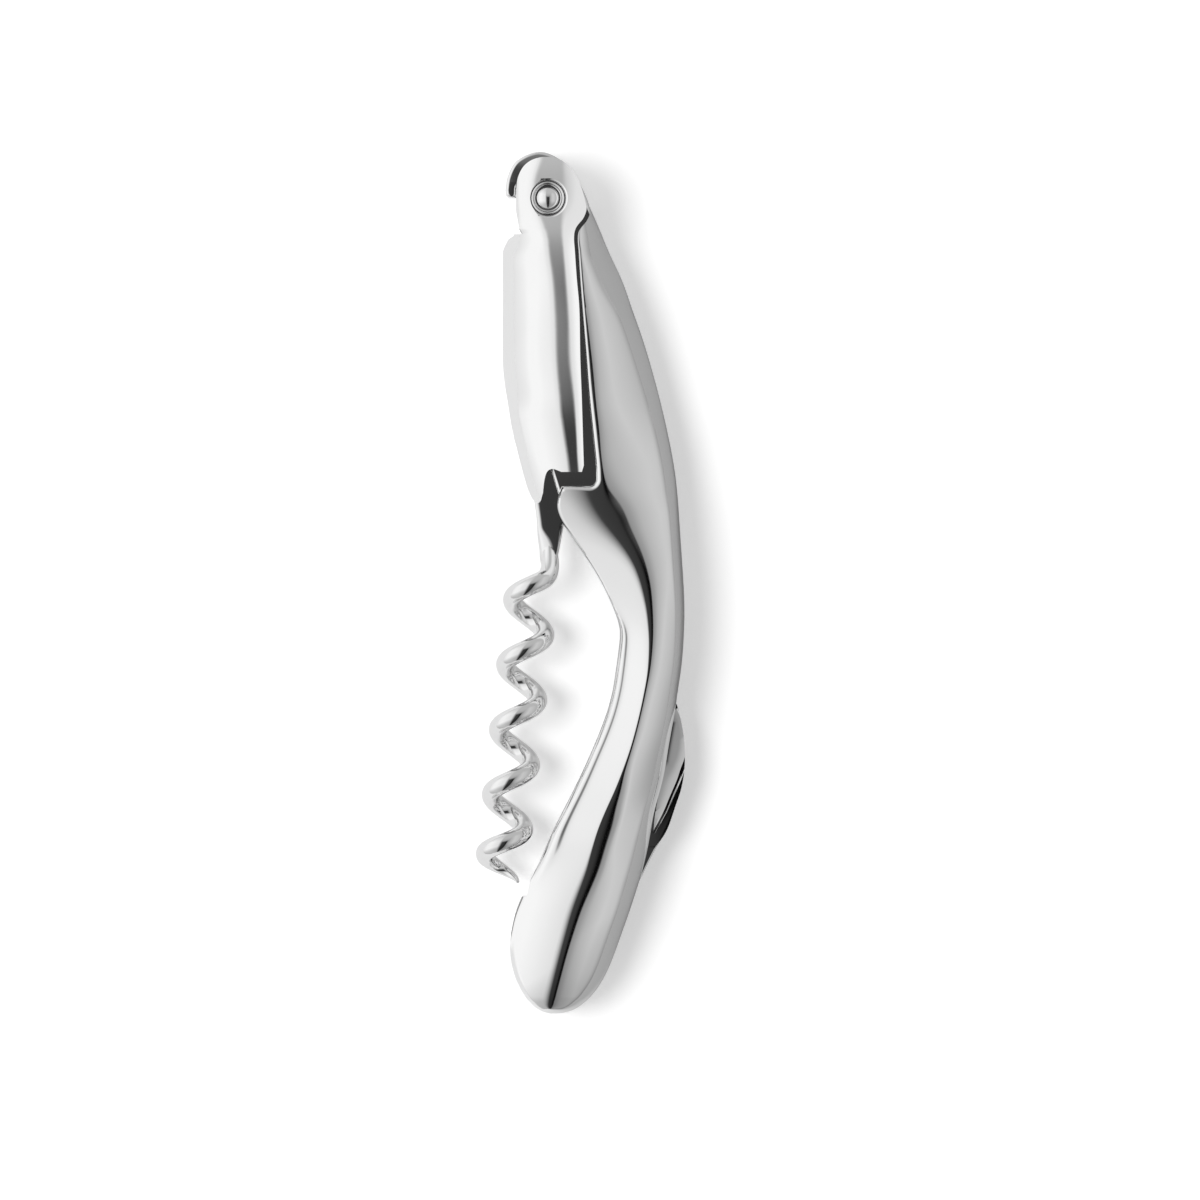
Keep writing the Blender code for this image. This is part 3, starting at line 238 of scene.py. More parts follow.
def skin(name, rings, ring=False):
    """A closed mesh through rings of points, with flat ends unless the last ring meets the first."""
    count = len(rings[0])
    points = [point for level in rings for point in level]
    levels = len(rings) if ring else len(rings) - 1
    faces = []
    for level in range(levels):
        low, high = level * count, (level + 1) % len(rings) * count
        for index in range(count):
            following = (index + 1) % count
            faces.append((low + index, low + following, high + following, high + index))
    if not ring:
        faces.append(tuple(range(count)))
        faces.append(tuple(range(len(points) - count, len(points))))
    mesh = bpy.data.meshes.new(name)
    mesh.from_pydata(points, [], faces)
    tidy(mesh)
    return put(name, mesh)


def slab(name, outline, low, high, edge=0.0):
    """A flat outline with a thickness, its rim rounded where asked."""
    curve = bpy.data.curves.new(name, "CURVE")
    curve.dimensions = "2D"
    curve.fill_mode = "BOTH"
    curve.extrude = ((high - low) / 2 - edge) * MM
    curve.bevel_depth = edge * MM
    curve.offset = -edge * MM
    curve.bevel_resolution = 4
    run = curve.splines.new("POLY")
    run.points.add(len(outline) - 1)
    for point, (x, drop) in zip(run.points, outline):
        point.co = ((FRONT_X + x) * MM, (TOP_Y - drop) * MM, 0.0, 1.0)
    run.use_cyclic_u = True
    path = put(name + "_outline", curve)
    mesh = worked_out(path)
    bpy.data.objects.remove(path, do_unlink=True)
    mesh.transform(Matrix.Translation((0.0, 0.0, (MIDDLE + (low + high) / 2) * MM)))
    tidy(mesh)
    return put(name, mesh)


def spun(name, centre, profile, sides=96):
    """A round piece about an upright axis from (radius, height) points, closed on itself."""
    rings = []
    for index in range(sides):
        angle = math.tau * index / sides
        rings.append([
            world(centre[0] + radius * math.cos(angle), centre[1] - radius * math.sin(angle), height)
            for radius, height in profile])
    return skin(name, rings, ring=True)


def carve(piece, *steps):
    """The piece with each solid in turn cut from it, or what else its step says done with it."""
    steps = [step if isinstance(step, tuple) else ("DIFFERENCE", step) for step in steps]
    for operation, other in steps:
        cut = piece.modifiers.new(other.name, "BOOLEAN")
        cut.operation = operation
        cut.object = other
        cut.solver = "EXACT"
    mesh = worked_out(piece)
    piece.modifiers.clear()
    piece.data = mesh
    for _, other in steps:
        bpy.data.objects.remove(other, do_unlink=True)
    tidy(mesh)
    return piece


def curve_through(points, steps=6):
    smooth = []
    last = len(points) - 1
    for index in range(last):
        before, start = points[max(index - 1, 0)], points[index]
        end, after = points[index + 1], points[min(index + 2, last)]
        for step in range(steps):
            t = step / steps
            smooth.append(tuple(
                b + t * (c - a) / 2 + t * t * (2 * a - 5 * b + 4 * c - d) / 2
                + t**3 * (3 * b - a - 3 * c + d) / 2
                for a, b, c, d in zip(before, start, end, after)))
    smooth.append(tuple(points[last]))
    return smooth


def arc(centre, radius, start, end, count):
    """Points round a centre, by angles in degrees from the back towards the hook."""
    points = []
    for index in range(count + 1):
        angle = math.radians(start + (end - start) * index / count)
        points.append((centre[0] + radius * math.cos(angle), centre[1] - radius * math.sin(angle)))
    return points


def beside(points, index, distance):
    """A place beside one of a run of points, to the left of its direction."""
    x, drop = points[index]
    before, after = points[max(index - 1, 0)], points[min(index + 1, len(points) - 1)]
    dx, dd = after[0] - before[0], after[1] - before[1]
    length = math.hypot(dx, dd)
    return x + distance * dd / length, drop - distance * dx / length


def far_side(points):
    return [(across, -height) for across, height in points]


def handle_rings():
    t = np.linspace(0.0, 1.0, FLANK_SAMPLES)
    shares = 1 - (1 - t**1.5) ** 2
    rings = []
    for row, drop in enumerate(handle_drops):
        front, crest, back, _ = handle_lines[row]
        near = list(zip(crest + (back - crest) * shares, back_height(row, (back - crest) * shares)))[::-1]
        near += list(zip(crest - (crest - front) * shares, front_height(row, (crest - front) * shares)))[1:]
        rings.append([world(x, drop, height) for x, height in near + far_side(reversed(near))])
    return rings


LEDGE_RUN = (
    (9.22, 1.0), (10.53, 2.07), (11.71, 3.75), (12.53, 5.7), (13.11, 7.78), (13.3, 9.22),
    (12.75, 10.79), (11.85, 11.87), (11.42, 12.57), (11.25, 13.68), (11.33, 15.49), (11.6, 19.84),
    (11.95, 24.54), (12.6, 32.31), (13.1, 38.5), (13.9, 46.26), (14.15, 49.0), (14.2, 50.88),
)
LEDGE_CORNER = (13.10, 50.88)
LEDGE_BEND = 1.1
SEAT_DROP = 51.98
CHEEK_INSIDE = 4.0
FILLET_STEPS = 8
WALL_CLEAR = 0.4
TOP_CLEAR = 0.8
THROUGH = 12.0
BEYOND_FRONT = -4.0

# The ledge's edge: where its rounding starts, its radius there, and from which drop, over what length
# and by how much it grows
FILLET_START = (12.3, 11.5)
FILLET_RADIUS = 0.12
FILLET_GROWTH = ((11.5, 4.0, 0.46), (36.0, 14.0, 0.27))
SEAT_STEP = 0.2
SEAT_POINTS = 26


def fillet_cutter(name, path, radii):
    """What a rounded edge takes off between a flank and a wall that drops along the path."""
    rings = []
    for index, (x, drop) in enumerate(path):
        radius = radii[index]
        top = handle_height(x, drop)
        out = beside(path, index, radius)
        out = (*out, handle_height(*out))
        ring = []
        for step in range(FILLET_STEPS + 1):
            t = step / FILLET_STEPS
            weights = ((1 - t) ** 2, 2 * t * (1 - t), t**2)
            corners = (out, (x, drop, top), (x, drop, top - radius))
            ring.append(tuple(sum(w * c[axis] for w, c in zip(weights, corners)) for axis in range(3)))
        clear = beside(path, index, -WALL_CLEAR)
        ring += [(*clear, top - radius), (*clear, top + TOP_CLEAR)]
        ring.append((out[0], out[1], max(top, out[2]) + TOP_CLEAR))
        rings.append([world(*point) for point in ring])
    return skin(name, rings)


def ledge_wall():
    return curve_through(LEDGE_RUN, 8)[:-1] + arc(LEDGE_CORNER, LEDGE_BEND, 0.0, -90.0, 12)


def ledge_fillets():
    wall = ledge_wall()
    start = min(range(len(wall)), key=lambda at: sum(abs(a - b) for a, b in zip(wall[at], FILLET_START)))
    seat = [(LEDGE_CORNER[0] - SEAT_STEP * step, SEAT_DROP) for step in range(1, SEAT_POINTS + 1)]
    path = wall[start:] + seat
    radii = []
    for _, drop in path:
        radius = FILLET_RADIUS
        for first, length, more in FILLET_GROWTH:
            radius += more * min(max((drop - first) / length, 0.0), 1.0)
        radii.append(radius)
    return fillet_cutter("ledge_fillet", path, radii)


HOOK_OUTER = (
    (0.08, 6.06), (0.31, 4.36), (0.87, 2.8), (1.71, 1.55), (2.97, 0.7), (4.2, 0.2), (5.43, 0.0),
    (7.0, 0.36), (8.57, 1.25), (9.8, 2.49), (11.2, 4.19), (12.12, 5.91), (12.91, 7.77), (13.4, 9.94),
    (13.5, 12.44), (13.6, 16.01), (13.7, 21.45), (14.5, 29.23), (15.2, 37.0), (15.6, 44.77),
    (15.6, 50.99), (15.0, 54.2), (13.6, 55.3),
)
TONGUE_NOSE = ((10.89, 55.18), (8.88, 54.26), (8.23, 53.01), (7.17, 49.59), (5.74, 46.9))
TONGUE_FRONT = ((3.61, 43.2), (3.0, 39.33), (2.37, 35.4), (2.14, 31.52), (2.14, 23.01), (2.14, 15.2))
HOOK_MOUTH = (
    (2.63, 14.93), (3.58, 13.83), (3.67, 12.13), (3.67, 9.33), (3.42, 7.46), (2.97, 6.06), (2.32, 5.28),
    (1.93, 5.6), (1.88, 6.69),
)
HOOK_TIP = ((1.57, 7.16), (0.62, 7.16), (0.17, 6.77))
WORM_SLOT = (
    (-5.6, 41.47), (-3.58, 41.48), (-0.91, 41.26), (1.93, 41.04), (4.92, 40.79), (6.63, 40.78),
    (8.4, 41.23), (8.88, 40.14), (10.56, 40.36), (12.12, 41.01), (13.47, 42.04), (14.5, 43.39),
    (15.15, 44.95), (15.37, 46.63), (14.37, 47.57), (13.45, 50.52), (12.74, 54.53), (12.22, 57.76),
    (12.2, 61.72), (12.2, 62.34), (-5.6, 62.34),
)
CHANNEL_FLOOR = (
    (14.79, 67.0), (16.76, 69.91), (18.57, 72.82), (20.01, 75.72), (20.13, 78.63), (19.69, 81.54),
    (19.08, 84.45), (17.92, 87.36), (16.58, 90.27), (15.29, 93.17), (14.47, 96.08), (14.85, 101.9),
    (15.24, 107.72), (15.62, 113.53), (15.46, 114.35), (14.99, 115.05), (14.3, 115.52), (13.47, 115.68),
)
BLADE_PIVOT = (11.68, 126.36)
WORM_PIVOT = (8.88, 46.63)
LEVER_PIVOT = (6.69, 7.30)
BLADE_SPINE = (
    (16.96, 120.17), (18.98, 116.73), (20.99, 113.16), (23.32, 108.52), (25.19, 105.42),
    (26.58, 101.51), (27.36, 99.18), (27.82, 96.86), (27.98, 94.54), (27.9, 91.74), (27.44, 88.65),
    (26.74, 85.98), (25.81, 84.31),
)
BLADE_TIP = (24.72, 83.36)
BLADE_EDGE = (
    (23.94, 84.31), (23.32, 87.1), (22.7, 90.67), (22.24, 94.54), (21.62, 99.18), (20.84, 103.05),
    (19.91, 106.97), (18.82, 110.36), (17.58, 113.93), (15.72, 117.5), (12.92, 120.98),
)
SLOT_HALF = 1.2
WORM_SLOT_HALF = 1.8
CHANNEL_HALF = 4.7
TONGUE_EDGE = 0.5
RIVET_BORE = 1.38
PIN_BORE = 1.33
PIN_BORE_TOP = 3.88
SPRING_PIN_BORE = 0.53
SPRING_PIN = (5.51, 117.18)
BLADE_CLEAR = 0.3
TANG_RADIUS = 3.1
TANG_ROOM = 3.4
TANG_START = 115.0
TANG_END = 395.0
TANG_SLOT_END = 172.83
TANG_SLOT_RUN = (-3.49, 27.78)
BEHIND_BACK = 32.0
DRUM_SIDES = 64
WASHER_SEATS = (("lever", LEVER_PIVOT, 2.5, 3.2, 4.3), ("blade", BLADE_PIVOT, 3.0, 0.9, 2.0))

# The tongue's front edge is broken back under the folded lever: drop, front edge, height where it starts
TONGUE_BREAK = (
    (14.6, 2.14, 1.9), (23.0, 2.14, 1.9), (31.5, 2.14, 1.9), (35.4, 2.37, 1.9), (39.3, 3.0, 2.0),
    (43.2, 3.61, 2.6), (46.9, 5.74, 3.9),
)
BREAK_DEPTH = 1.5
BREAK_REACH = 3.0
SPRING_LEAN = math.radians(14.5)
POCKET_OFF = 4.2
POCKET_TOP = -8.4
POCKET_HALF = 1.1
POCKET_FLEX = 1.7


def spring_pocket():
    """Room for the flat spring beside the blade's tang, with its flex."""
    down = (math.sin(SPRING_LEAN), math.cos(SPRING_LEAN))
    out = (-math.cos(SPRING_LEAN), math.sin(SPRING_LEAN))

    def point(along, off):
        return tuple(p + o * (POCKET_OFF + off) + d * along for p, o, d in zip(BLADE_PIVOT, out, down))

    lean = math.degrees(SPRING_LEAN)
    top = arc(point(POCKET_TOP, 0.0), POCKET_HALF, 180.0 + lean, lean, 12)
    return top + [point(POCKET_HALF, -POCKET_HALF), point(POCKET_HALF, POCKET_FLEX)]


def blade_slot():
    edge = [BLADE_SPINE[-1], BLADE_TIP] + curve_through(BLADE_EDGE, 3)
    inner = [beside(edge, index, -BLADE_CLEAR) for index in range(len(edge))]
    tang = arc(BLADE_PIVOT, TANG_ROOM, TANG_START, TANG_SLOT_END, 12)
    end = (tang[-1][0] + TANG_SLOT_RUN[0], tang[-1][1] + TANG_SLOT_RUN[1])
    return inner + tang + [end, (BEHIND_BACK, end[1]), (BEHIND_BACK, inner[0][1])]


def tongue_break(side):
    rings = []
    for drop, x, height in TONGUE_BREAK:
        left, right, top = x - BREAK_DEPTH, x + BREAK_REACH, height + BREAK_REACH
        corners = ((left, height - BREAK_DEPTH), (right, top), (left, top))
        rings.append([world(a, drop, side * b) for a, b in corners])
    return skin("tongue_break", rings)


def drum(name, centre, radius, low, high):
    last = 360.0 - 360.0 / DRUM_SIDES
    return slab(name, arc(centre, radius, 0.0, last, DRUM_SIDES - 1), low, high)


def cast_handle():
    handle = skin("handle_casting", handle_rings())
    rebate = ledge_wall()
    rebate += [(BEYOND_FRONT, SEAT_DROP), (BEYOND_FRONT, BEYOND_FRONT), (LEDGE_RUN[0][0], BEYOND_FRONT)]
    tongue = curve_through(HOOK_OUTER) + list(TONGUE_NOSE) + list(TONGUE_FRONT)
    tongue += curve_through(HOOK_MOUTH) + list(HOOK_TIP)
    channel = curve_through(CHANNEL_FLOOR, 4)
    channel += [(BEYOND_FRONT, CHANNEL_FLOOR[-1][1]), (BEYOND_FRONT, CHANNEL_FLOOR[0][1])]
    steps = [
        slab("near_rebate", rebate, CHEEK_INSIDE, THROUGH),
        slab("far_rebate", rebate, -THROUGH, -CHEEK_INSIDE),
        ledge_fillets(),
        ("UNION", slab("tongue", tongue, -CHEEK_INSIDE, CHEEK_INSIDE, TONGUE_EDGE)),
        tongue_break(1),
        tongue_break(-1),
        slab("worm_slot", WORM_SLOT, -WORM_SLOT_HALF, WORM_SLOT_HALF),
        slab("worm_channel", channel, -CHANNEL_HALF, CHANNEL_HALF),
        slab("blade_slot", blade_slot(), -SLOT_HALF, SLOT_HALF),
        slab("spring_pocket", spring_pocket(), -SLOT_HALF, SLOT_HALF),
        drum("rivet_bore", LEVER_PIVOT, RIVET_BORE, -THROUGH, THROUGH),
        drum("worm_pin_bore", WORM_PIVOT, PIN_BORE, -THROUGH, THROUGH),
        drum("blade_pin_bore", BLADE_PIVOT, PIN_BORE, -THROUGH, PIN_BORE_TOP),
        drum("spring_pin_bore", SPRING_PIN, SPRING_PIN_BORE, -THROUGH, PIN_BORE_TOP),
    ]
    for name, place, radius, low, high in WASHER_SEATS:
        steps.append(drum(f"near_{name}_washer_seat", place, radius, low, high))
        steps.append(drum(f"far_{name}_washer_seat", place, radius, -high, -low))
    return carve(handle, *steps)


class Number:
    """A value in a node tree, so that a rule can be written out as a sum."""

    def __init__(self, tree, socket):
        self.tree, self.socket = tree, socket

    def of(self, operation, *others):
        node = self.tree.nodes.new("ShaderNodeMath")
        node.operation = operation
        for slot, value in zip(node.inputs, (self, *others)):
            if isinstance(value, Number):
                self.tree.links.new(value.socket, slot)
            else:
                slot.default_value = value
        return Number(self.tree, node.outputs["Value"])

    def __add__(self, other):
        return self.of("ADD", other)

    def __sub__(self, other):
        return self.of("SUBTRACT", other)

    def __mul__(self, other):
        return self.of("MULTIPLY", other)

    def __truediv__(self, other):
        return self.of("DIVIDE", other)

    def less_from(self, other):
        return self.of("MULTIPLY_ADD", -1.0, other)


def feed(tree, node, **inputs):
    """A node, or a new one of the kind named, with inputs set or joined; a name's gaps are written _."""
    if isinstance(node, str):
        node = tree.nodes.new(node)
    for name, value in inputs.items():
        slot = node.inputs[name.replace("_", " ")]
        if isinstance(value, Number):
            value = value.socket
        if isinstance(value, bpy.types.NodeSocket):
            tree.links.new(value, slot)
        else:
            slot.default_value = value
    return node


def add_inputs(tree, kind, sizes):
    for name, value in sizes:
        socket = tree.interface.new_socket(name, in_out="INPUT", socket_type=f"NodeSocket{kind}")
        socket.default_value = value


def polish_group():
    """Wheel polish: a faint haze in clouds, and finer lines left along the piece by the wheel."""
    group = bpy.data.node_groups.new("wheel_polish", "ShaderNodeTree")
    add_inputs(group, "Float", (("Roughness", 0.04), ("Haze", 0.03), ("Lines", 0.02), ("Tone", 0.86)))
    for name, kind in (("Roughness", "Float"), ("Color", "Color"), ("Normal", "Vector")):
        group.interface.new_socket(name, in_out="OUTPUT", socket_type=f"NodeSocket{kind}")
    given, result = group.nodes.new("NodeGroupInput"), group.nodes.new("NodeGroupOutput")
    place = group.nodes.new("ShaderNodeTexCoord").outputs["Object"]

    def noise(scale, detail, stretch):
        turn = feed(group, "ShaderNodeMapping", Scale=stretch, Vector=place).outputs["Vector"]
        cloud = feed(group, "ShaderNodeTexNoise", Scale=scale, Detail=detail, Vector=turn)
        return Number(group, cloud.outputs["Fac"])

    def setting(name):
        return Number(group, given.outputs[name])

    haze = noise(140.0, 3.0, (1.0, 1.0, 1.0))
    lines = noise(2600.0, 2.0, (1.0, 0.05, 1.0))
    rough = setting("Roughness") + haze * setting("Haze") + lines * setting("Lines")
    tone = setting("Tone") - haze * 0.02
    shade = feed(group, "ShaderNodeCombineColor", Red=tone, Green=tone, Blue=tone)
    bump = feed(group, "ShaderNodeBump", Distance=0.000002, Strength=setting("Lines"), Height=lines)
    feed(group, result, Roughness=rough, Color=shade.outputs["Color"], Normal=bump.outputs["Normal"])
    return group


polish = polish_group()


def steel(name, tone, roughness, haze, lines):
    material = bpy.data.materials.new(name)
    material.use_nodes = True
    tree = material.node_tree
    marks = tree.nodes.new("ShaderNodeGroup")
    marks.node_tree = polish
    feed(tree, marks, Tone=tone, Roughness=roughness, Haze=haze, Lines=lines)
    shader = feed(tree, tree.nodes["Principled BSDF"], Metallic=1.0, Base_Color=marks.outputs["Color"])
    feed(tree, shader, Roughness=marks.outputs["Roughness"], Normal=marks.outputs["Normal"])
    return material


def finish(piece, material, body, node, sharp=32.0):
    """The piece in its steel, smooth but for its edges, riding on its body in its node's stead."""
    piece.data.materials.clear()
    piece.data.materials.append(material)
    piece.data.shade_smooth()
    piece.data.set_sharp_from_angle(angle=math.radians(sharp))
    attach(piece, body)
    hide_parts(node)


def keep(node, material):
    """A solid whose shape is right already, given its steel."""
    piece = frame["nodes"][node]
    piece.data.materials.clear()
    piece.data.materials.append(material)


handle = cast_handle()
finish(handle, steel("cast_steel_polish", 0.87, 0.035, 0.02, 0.02), "frame", "handle")

# Thrust washers: thin turned rings of brushed stainless between the tongue and each cheek. They lie in
# shallow seats bored into the tongue, so that the cheeks turn on them and not on the tongue.
washer_steel = steel("brushed_washer_steel", 0.72, 0.16, 0.08, 0.10)
keep("lever_thrust_washer_near", washer_steel)
keep("lever_thrust_washer_far", washer_steel)

# Boot lever: one pressed and folded plate of stainless steel, two cheeks joined by a rounded web in
# front. Its cheeks fall away forwards and carry one shallow groove each; a bottle seat, a notch and
# two prongs are blanked into its lower end.
LEVER_HEAD = (
    (-4.96, 4.97), (-4.96, 0.14), (-4.89, -1.7), (-4.65, -3.26), (-3.88, -4.82), (-2.79, -5.77),
    (-1.55, -6.24), (-0.31, -6.39), (0.93, -6.24), (2.17, -5.82), (3.41, -4.82), (4.49, -3.26),
    (5.27, -1.42), (5.82, 0.61), (5.99, 1.84), (5.5, 3.17), (4.65, 4.21), (4.19, 5.11), (4.06, 6.39),
    (4.19, 8.23), (4.49, 12.58), (4.89, 17.26), (5.04, 25.02), (5.27, 31.22), (5.5, 38.98),
    (5.58, 41.48),
)
LEVER_SEAT = ((5.27, 42.48), (2.10, 42.48))
LEVER_NOTCH = (
    (1.4, 42.19), (0.71, 42.0), (0.08, 42.24), (-0.31, 42.85), (-0.59, 43.94), (-0.77, 45.69),
)
LEVER_PRONG = ((-1.09, 46.92), (-1.55, 47.3), (-2.02, 46.97), (-2.48, 46.59))
LEVER_FRONT = (
    (-3.1, 45.22), (-4.03, 42.1), (-4.81, 38.98), (-5.58, 35.9), (-6.2, 32.02), (-6.83, 28.1),
    (-7.05, 24.22), (-7.05, 15.7), (-7.05, 7.9), (-6.83, 6.81), (-6.2, 6.29), (-5.42, 5.82),
)

# A cheek's section, from its front edge to behind its back edge: millimetres below the pivot, height
# over the mid-plane in the groove, how far the foot is drawn down to the web, then for each point
# across its place behind the pivot and the angle that it faces forwards at
LEVER_SECTIONS = (
    (-6.4, 6.1, 0.0, (-5.3, 60), (-5.0, 45), (-4.4, 34), (-4.2, 34), (-3.4, 30), (-2.5, 26), (-1.6, 22),
     (-1.1, 10), (-0.6, 8), (2.2, 8), (2.8, 10), (4.4, 13), (8.1, 14)),
    (-3.0, 6.2, 0.0, (-5.3, 60), (-4.8, 45), (-4.4, 34), (-4.2, 34), (-3.6, 30), (-3.0, 26), (-2.5, 22),
     (-2.2, 10), (-1.7, 7.5), (2.2, 7.5), (3.0, 9), (5.0, 12), (8.1, 12)),
    (0.0, 6.3, 0.0, (-5.4, 65), (-4.9, 50), (-4.5, 36), (-4.4, 36), (-3.7, 30), (-3.1, 26), (-2.6, 22),
     (-2.3, 10), (-1.9, 7.5), (2.2, 7.5), (3.1, 9), (5.0, 12), (8.1, 12)),
    (4.8, 6.45, 0.0, (-5.4, 65), (-4.9, 50), (-4.5, 38), (-4.4, 38), (-3.1, 32), (-1.9, 27), (-1.1, 23),
     (-0.8, 11), (-0.3, 7.5), (2.0, 7.5), (2.6, 12), (3.9, 15), (8.1, 16)),
    (7.9, 6.55, 1.0, (-7.0, 78), (-6.7, 60), (-5.6, 54), (-5.4, 46), (-3.7, 38), (-2.2, 31), (-0.8, 25),
     (-0.2, 12), (0.3, 6.5), (2.3, 6.5), (2.8, 14), (4.0, 28), (8.1, 28)),
    (12.6, 6.7, 1.0, (-7.1, 78), (-6.8, 60), (-5.6, 54), (-5.4, 47), (-3.7, 40), (-1.9, 31), (-0.2, 25),
     (0.6, 10), (1.1, 5.8), (2.6, 5.5), (3.3, 14), (4.2, 30), (8.1, 30)),
    (18.8, 6.85, 1.0, (-7.1, 78), (-6.8, 60), (-5.6, 55), (-5.4, 47), (-3.7, 42), (-1.6, 29), (0.3, 21),
     (1.1, 9), (1.6, 5.8), (3.0, 5.5), (3.6, 12), (4.5, 29), (8.1, 30)),
    (25.0, 6.95, 1.0, (-7.1, 78), (-6.8, 60), (-5.4, 55), (-5.3, 47), (-3.7, 42), (-0.9, 25), (0.5, 21),
     (1.2, 10), (1.7, 5.6), (3.1, 5.4), (3.9, 12), (4.7, 30), (8.1, 30)),
    (31.2, 6.95, 1.0, (-6.4, 78), (-6.1, 60), (-5.0, 55), (-4.8, 47), (-3.1, 42), (-0.3, 26), (1.1, 21),
     (1.7, 10), (2.2, 5.0), (3.9, 4.8), (4.5, 14), (5.1, 30), (8.1, 30)),
    (37.5, 6.9, 1.0, (-5.2, 78), (-4.9, 60), (-3.8, 55), (-3.7, 47), (-2.0, 40), (0.6, 26), (2.0, 19),
     (2.6, 9), (3.1, 3.8), (4.4, 3.6), (4.7, 14), (5.3, 28), (8.1, 30)),
    (40.6, 6.85, 1.0, (-4.4, 78), (-4.1, 60), (-3.2, 55), (-3.0, 47), (-1.4, 38), (1.1, 25), (2.5, 17),
     (3.1, 8), (3.5, 3.8), (4.5, 3.6), (4.9, 14), (5.4, 28), (8.1, 28)),
    (42.9, 6.8, 1.0, (-3.8, 76), (-3.5, 60), (-2.7, 54), (-2.6, 46), (-0.9, 38), (1.4, 25), (2.8, 16),
     (3.3, 8), (3.7, 4.0), (4.7, 4.0), (5.1, 14), (5.6, 26), (8.1, 28)),
    (48.0, 6.7, 1.0, (-2.4, 74), (-2.1, 58), (-1.5, 54), (-1.4, 46), (0.2, 38), (2.2, 25), (3.4, 16),
     (3.9, 8), (4.2, 4.0), (4.9, 4.0), (5.4, 12), (5.9, 20), (8.1, 20)),
)
GROOVE_POINT = 8
CHEEK_SAMPLES = 90
CHEEK_DROPS = (-8.0, 49.0, 0.35)
WEB_FOOT = 0.03
FOOT_OPENS = 30.0
FOOT_RUN = 4.0
OPEN_FOOT = 1.5
WEB_END = 34.02
SHOULDER = 5.52
CHEEK_BACK = 4.3
LEVER_TAIL = 52.0
LEVER_CLEAR = 22.0
HEAD_ROOM = ((-20.0, SHOULDER), (-20.0, -THROUGH), (LEVER_CLEAR, -THROUGH), (LEVER_CLEAR, SHOULDER))
OVERLAP = 0.1
WEB_INSIDE = ((1.5, 0.0), (1.5, 1.25), (4.55, CHEEK_BACK))
OPEN_INSIDE = ((-3.0, OPEN_FOOT), (1.0, OPEN_FOOT), (3.8, CHEEK_BACK))
RECESS = (
    (0.0, 5.6), (2.66, 5.6), (2.68, 5.9), (2.72, 6.06), (2.79, 6.19), (2.9, 6.29), (3.05, 6.35),
    (3.3, 9.0), (0.0, 9.0),
)


def cheek_rings():
    rows = []
    for drop, height, draw, *across in LEVER_SECTIONS:
        rows.append((drop, height, draw, *(value for pair in across for value in pair)))
    drops = np.arange(*CHEEK_DROPS)
    values = calm(blend_rows(rows, np.clip(drops, rows[0][0], rows[-1][0])), 3)
    rings = []
    for drop, row in zip(drops, values):
        height, draw = row[0], min(max(row[1], 0.0), 1.0)
        places, angles = row[2::2], row[3::2]
        x = np.linspace(places[0], places[-1], CHEEK_SAMPLES)
        lead = places[0] + (places[2] - places[0]) * np.linspace(0.0, 0.9, 8) ** 1.5
        x = np.concatenate([lead, x[x > places[2]]])
        x = np.interp(np.linspace(0, len(x) - 1, CHEEK_SAMPLES), np.arange(len(x)), x)
        slopes = np.tan(np.radians(np.interp(x, places, angles)))
        rise = np.concatenate([[0.0], np.cumsum((slopes[1:] + slopes[:-1]) / 2 * np.diff(x))])
        groove = np.interp(places[GROOVE_POINT], x, rise)
        open_share = min(max((drop - FOOT_OPENS) / FOOT_RUN, 0.0), 1.0)
        foot = WEB_FOOT + (OPEN_FOOT - WEB_FOOT) * open_share**2 * (3 - 2 * open_share)
        scale = 1 + draw * ((height - foot) / groove - 1)
        z = np.maximum(height - (groove - rise) * np.where(rise < groove, scale, 1.0), foot)
        near = [(LEVER_PIVOT[0] + a, b) for a, b in zip(x, z)][::-1]
        section = near + far_side(reversed(near))
        rings.append([world(a, LEVER_PIVOT[1] + drop, b) for a, b in section])
    return rings


def from_lever_pivot(points):
    return [(LEVER_PIVOT[0] + x, LEVER_PIVOT[1] + drop) for x, drop in points]


def lever_inside(name, start, end, corners):
    """The room in the folded plate, from corners behind its front edge, its bends following the outside."""
    front = sorted((drop, x) for x, drop in LEVER_FRONT[:9])
    rings = []
    for drop in np.linspace(start, end, 60):
        x = LEVER_PIVOT[0] + float(np.interp(drop, *zip(*front)))
        near = [(x + behind, height) for behind, height in corners] + [(LEVER_CLEAR, CHEEK_BACK)]
        far = [(a, -b) for a, b in reversed(near) if b > 0]
        rings.append([world(a, LEVER_PIVOT[1] + drop, b) for a, b in near + far])
    return skin(name, rings)


def fold_lever():
    lever = skin("boot_lever_pressing", cheek_rings())
    outline = curve_through(LEVER_HEAD) + list(LEVER_SEAT) + curve_through(LEVER_NOTCH)
    outline += curve_through(LEVER_PRONG, 4) + curve_through(LEVER_FRONT)
    return carve(
        lever,
        ("INTERSECT", slab("cheek_outline", from_lever_pivot(outline), -THROUGH, THROUGH)),
        slab("head_inside", from_lever_pivot(HEAD_ROOM), -CHEEK_BACK, CHEEK_BACK),
        lever_inside("web_inside", SHOULDER - OVERLAP, WEB_END, WEB_INSIDE),
        lever_inside("open_inside", WEB_END - OVERLAP, LEVER_TAIL, OPEN_INSIDE),
        drum("lever_bore", LEVER_PIVOT, RIVET_BORE, -THROUGH, THROUGH),
        spun("near_recess", LEVER_PIVOT, RECESS),
        spun("far_recess", LEVER_PIVOT, far_side(RECESS)),
    )


lever = fold_lever()
lever_steel = steel("pressed_steel_polish", 0.87, 0.035, 0.02, 0.02)
finish(lever, lever_steel, "lever", "boot_lever")

